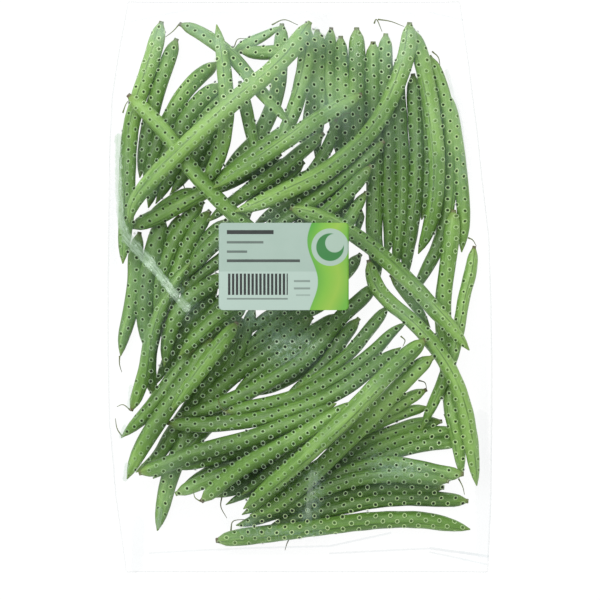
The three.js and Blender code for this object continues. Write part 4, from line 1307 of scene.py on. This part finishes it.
def label_material(settings):
    """The sticker's face: pale, a little greyer above, with plain rules and a block of even bars on the
    left, and on the right a green panel with a wavy edge and a plain crescent on a pale disc."""
    tree, w, out = new_group("Sticker look", (("Color", "NodeSocketColor"), ("Roughness", "NodeSocketFloat")))
    place = w.add("ShaderNodeUVMap", uv_map="UVMap").outputs[0]
    plan = w.vector("SCALE", place, scale=UV_UNIT)
    parts = w.add("ShaderNodeSeparateXYZ")
    w.put(parts.inputs[0], plan)
    x, y = parts.outputs[0], parts.outputs[1]
    colour = w.mix(w.step(y, 18.6, 19.4), tuple(settings.lower), tuple(settings.upper))
    ink = w.times(w.step(w.math("FRACT", w.times(x, 0.52)), 0.34, 0.42),
                 box_mask(w, x, y, *BARS))
    for strength, *box in RULES:
        ink = w.math("MAXIMUM", ink, w.times(box_mask(w, x, y, *box), strength))
    colour = w.mix(ink, colour, tuple(settings.ink))
    wave = w.math("MULTIPLY_ADD", w.math("SINE", w.math("MULTIPLY_ADD", y, 0.157, -0.63)), 2.6, 46.2)
    inward = w.math("SUBTRACT", x, wave)
    green = w.ramp(w.math("MULTIPLY_ADD", w.math("SUBTRACT", inward, w.times(y, 0.1)), 0.05, 0.2),
                   ((0.0, srgb(72, 146, 52)), (0.35, srgb(112, 166, 54)), (0.65, srgb(132, 170, 62)),
                    (1.0, srgb(96, 158, 54))))
    colour = w.mix(w.step(inward, -0.25, 0.25), colour, green)
    colour = w.mix(disc_mask(w, plan, *DISC), colour, tuple(settings.disc))
    crescent = w.times(disc_mask(w, plan, *CRESCENT),
                      w.math("SUBTRACT", 1.0, disc_mask(w, plan, *CRESCENT_BITE)))
    colour = w.mix(crescent, colour, tuple(settings.crescent))
    w.put(out.inputs["Color"], colour)
    w.put(out.inputs["Roughness"], w.step(w.noise(plan, 0.12, 2.0), 0.35, 0.65, 0.4, 0.6))
    return new_material("sticker_face", tree, {"Color": "Base Color", "Roughness": "Roughness"},
                        {"Specular IOR Level": 0.35})


# ---------------------------------------------------------------- operators


def colour_property(name, text, *screen):
    """A colour setting whose default is given as 0-255 screen values."""
    return FloatVectorProperty(name=name, description=text, size=4, subtype="COLOR", default=srgb(*screen))


class BEANPACK_PG_pods(bpy.types.PropertyGroup):
    deep: colour_property("Deep", "Colour of the darkest pods", 49, 79, 30)
    mid: colour_property("Middle", "Colour of most pods", 76, 110, 46)
    fresh: colour_property("Fresh", "Colour of the brighter pods", 99, 139, 58)
    light: colour_property("Light", "Colour of the palest skin", 133, 172, 88)
    end: colour_property("Ends", "Colour of the pale ends", 122, 144, 68)
    dry: colour_property("Dry", "Colour of the dry stubs and scars", 92, 80, 52)


class BEANPACK_PG_film(bpy.types.PropertyGroup):
    clear: colour_property("Clear", "Colour of the film over the table", 190, 204, 208)
    # Colour of the film over pods, also used for its painted glare.
    haze_and_glare: colour_property("Haze", "Colour of the film over pods", 168, 200, 182)
    ring: colour_property("Rings", "Colour of the rings round the holes", 196, 222, 156)
    # Painted shade: the dark colour drawn over the holes.
    hole_shade: colour_property("Holes", "Colour of the holes", 8, 20, 5)
    strand: colour_property("Strands", "Colour of the gathered strands", 172, 198, 172)


class BEANPACK_PG_sticker(bpy.types.PropertyGroup):
    upper: colour_property("Upper", "Colour of the sticker's upper part", 147, 168, 157)
    lower: colour_property("Lower", "Colour of the sticker's lower part", 160, 180, 170)
    ink: colour_property("Ink", "Colour of the rules and bars", 34, 40, 38)
    disc: colour_property("Disc", "Colour of the disc", 150, 172, 158)
    crescent: colour_property("Crescent", "Colour of the crescent", 44, 112, 54)


class BEANPACK_PG_stage(bpy.types.PropertyGroup):
    camera_height: FloatProperty(name="Camera height", description="Height of the camera over the floor",
                                 default=2.4, unit="LENGTH")
    view_width: FloatProperty(name="View width", description="Width of floor in view",
                              default=0.3, unit="LENGTH")
    lamp: FloatProperty(name="Lamp", description="Power of the overhead lamp", default=14.5)
    table: FloatProperty(name="Table", description="How brightly the table shines", default=0.96)
    sky: FloatProperty(name="Sky", description="Strength of the even light", default=0.62)


def finish_piece(obj, nodes):
    """Rides a piece on the body, in place of these CAD nodes."""
    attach(obj, BODY)
    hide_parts(*nodes)
    return obj


def pod_ends(made):
    """The first and last ring of every pod, with the pod's node: the plan places and the heights."""
    rows = [(name, pod) for name, pods in made.items() for pod in pods]
    places = np.array([pod.rings[k] for _, pod in rows for k in (0, -1)])
    heights = np.array([pod.z[k] for _, pod in rows for k in (0, -1)])
    return [name for name, _ in rows for _ in (0, 1)], places, heights


class BEANPACK_OT_pods(bpy.types.Operator):
    """Build every pod over its CAD node"""

    bl_idname = "beanpack.pods"
    bl_label = "Build pods"

    def execute(self, context):
        settings = context.scene.beanpack_pods
        material = pod_material(settings)
        made = stack_pods()
        names, places, heights = pod_ends(made)
        wisps = {name: [] for name in made}
        for row in WISPS:
            nearest = np.linalg.norm(places - row[:2], axis=1).argmin()
            wisps[names[nearest]].append(wisp_tube(row, heights[nearest]))
        index = 0
        for name, pods in made.items():
            parts = []
            swell_by = BUNCH_SWELL if name in BUNCHES else 1.0
            for pod in pods:
                parts.append(
                    pod_tube(pod, index, POD_RING_COUNT, POD_SIDE_COUNT, swell_by, ROLLS.get(name))
                )
                index += 1
            parts += wisps[name]
            verts, faces, uv, attributes = join_parts(parts)
            # Painted light: pools of extra brightness from the table of brightened places are added to every
            # pod's brightness.
            attributes["tone_and_light"] = pod_tone_and_shade(name) + strand_mask(PAINTED_LIGHT, verts[:, 0], verts[:, 1])
            obj = make_mesh(f"bean_{name}", verts, faces, uv, attributes, material)
            finish_piece(obj, [name])
        return {"FINISHED"}


def pod_tone_and_shade(name):
    """How bright a pod is, from 0 to 1: the listed ones, and the rest by a draw from its name. Part of it is
    painted shade, darker for the low bunches.
    """
    draw = np.random.default_rng(SEED + sum(map(ord, name)) * 31)
    base = BUNCH_SHADED_TONE if name in BUNCHES else POD_TONE
    return TONES_AND_SHADE.get(name, base + draw.uniform(*TONE_SPREAD))


def laid_pods():
    """Every laid pod, from the lowest bunch to the topmost pod."""
    return [pod for group in stack_pods().values() for pod in group]


def sticker_level():
    """Height of the sticker's underside over the table, from its CAD node."""
    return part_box("label")[0][2] / MM


class BEANPACK_OT_film(bpy.types.Operator):
    """Build the film bag over the pods"""

    bl_idname = "beanpack.film"
    bl_label = "Build film"

    def execute(self, context):
        verts, faces, uv, attributes = film_mesh(laid_pods(), sticker_level())
        material = film_material(context.scene.beanpack_film)
        finish_piece(make_mesh("film", verts, faces, uv, attributes, material), ["bag_film"])
        return {"FINISHED"}


class BEANPACK_OT_sticker(bpy.types.Operator):
    """Build the sticker on the film"""

    bl_idname = "beanpack.sticker"
    bl_label = "Build sticker"

    def execute(self, context):
        verts, faces, uv, attributes = label_mesh(laid_pods(), sticker_level())
        material = label_material(context.scene.beanpack_sticker)
        finish_piece(make_mesh("sticker", verts, faces, uv, attributes, material), ["label"])
        return {"FINISHED"}


class BEANPACK_OT_stage(bpy.types.Operator):
    """Lay the floor and place the lights and the camera"""

    bl_idname = "beanpack.stage"
    bl_label = "Build stage"

    def execute(self, context):
        settings = context.scene.beanpack_stage
        scene = context.scene
        floor_mesh = bpy.data.meshes.new("floor")
        corners = [(x * FLOOR_HALF, y * FLOOR_HALF, 0) for x, y in ((-1, -1), (1, -1), (1, 1), (-1, 1))]
        floor_mesh.from_pydata(corners, [], [(0, 1, 2, 3)])
        floor = bpy.data.objects.new("floor", floor_mesh)
        scene.collection.objects.link(floor)
        floor_mesh.materials.append(
            new_material("floor_white", None, {}, {
                "Base Color": (0.06, 0.06, 0.06, 1.0), "Roughness": 0.9, "Specular IOR Level": 0.1,
                "Emission Color": (1.0, 1.0, 1.0, 1.0), "Emission Strength": settings.table,
            })
        )
        world = bpy.data.worlds.new("sky")
        scene.world = world
        world.use_nodes = True
        background = world.node_tree.nodes["Background"]
        background.inputs["Color"].default_value = (1, 1, 1, 1)
        background.inputs["Strength"].default_value = settings.sky
        lamp_data = bpy.data.lights.new("overhead", "AREA")
        lamp_data.shape = "RECTANGLE"
        lamp_data.size, lamp_data.size_y = LAMP_SIZE
        lamp_data.energy = settings.lamp
        lamp = bpy.data.objects.new("overhead", lamp_data)
        lamp.location = LAMP_PLACE
        lamp.rotation_euler = aim(lamp.location, (0, 0, 0))
        scene.collection.objects.link(lamp)
        camera_data = bpy.data.cameras.new("camera")
        camera_data.sensor_width = CAMERA_SENSOR
        camera_data.lens = CAMERA_SENSOR * settings.camera_height / settings.view_width
        camera_data.clip_end = CAMERA_REACH
        camera = bpy.data.objects.new("camera", camera_data)
        camera.location = (0, CAMERA_Y, settings.camera_height)
        scene.collection.objects.link(camera)
        scene.camera = camera
        scene.view_settings.view_transform = "Standard"
        return {"FINISHED"}


def aim(start, target):
    """The turn that points a lamp or camera from start at target."""
    return (Vector(target) - Vector(start)).to_track_quat("-Z", "Y").to_euler()


class BEANPACK_PT_panel(bpy.types.Panel):
    bl_label = "Bean Pack"
    bl_idname = "BEANPACK_PT_panel"
    bl_space_type = "VIEW_3D"
    bl_region_type = "UI"
    bl_category = "Bean Pack"

    def draw(self, context):
        layout = self.layout
        for name in SETTINGS:
            group = getattr(context.scene, name)
            for key in group.__annotations__:
                layout.prop(group, key)
        for operator in ("beanpack.pods", "beanpack.film", "beanpack.sticker", "beanpack.stage"):
            layout.operator(operator)


SETTINGS = {
    "beanpack_pods": BEANPACK_PG_pods,
    "beanpack_film": BEANPACK_PG_film,
    "beanpack_sticker": BEANPACK_PG_sticker,
    "beanpack_stage": BEANPACK_PG_stage,
}
CLASSES = (
    *SETTINGS.values(),
    BEANPACK_OT_pods,
    BEANPACK_OT_film,
    BEANPACK_OT_sticker,
    BEANPACK_OT_stage,
    BEANPACK_PT_panel,
)


def register():
    for cls in CLASSES:
        bpy.utils.register_class(cls)
    for name, group in SETTINGS.items():
        setattr(bpy.types.Scene, name, PointerProperty(type=group))


def unregister():
    for name in SETTINGS:
        delattr(bpy.types.Scene, name)
    for cls in reversed(CLASSES):
        bpy.utils.unregister_class(cls)


def main():
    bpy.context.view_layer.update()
    register()
    bpy.ops.beanpack.pods()
    bpy.ops.beanpack.film()
    bpy.ops.beanpack.sticker()
    bpy.ops.beanpack.stage()


if __name__ == "__main__":
    main()
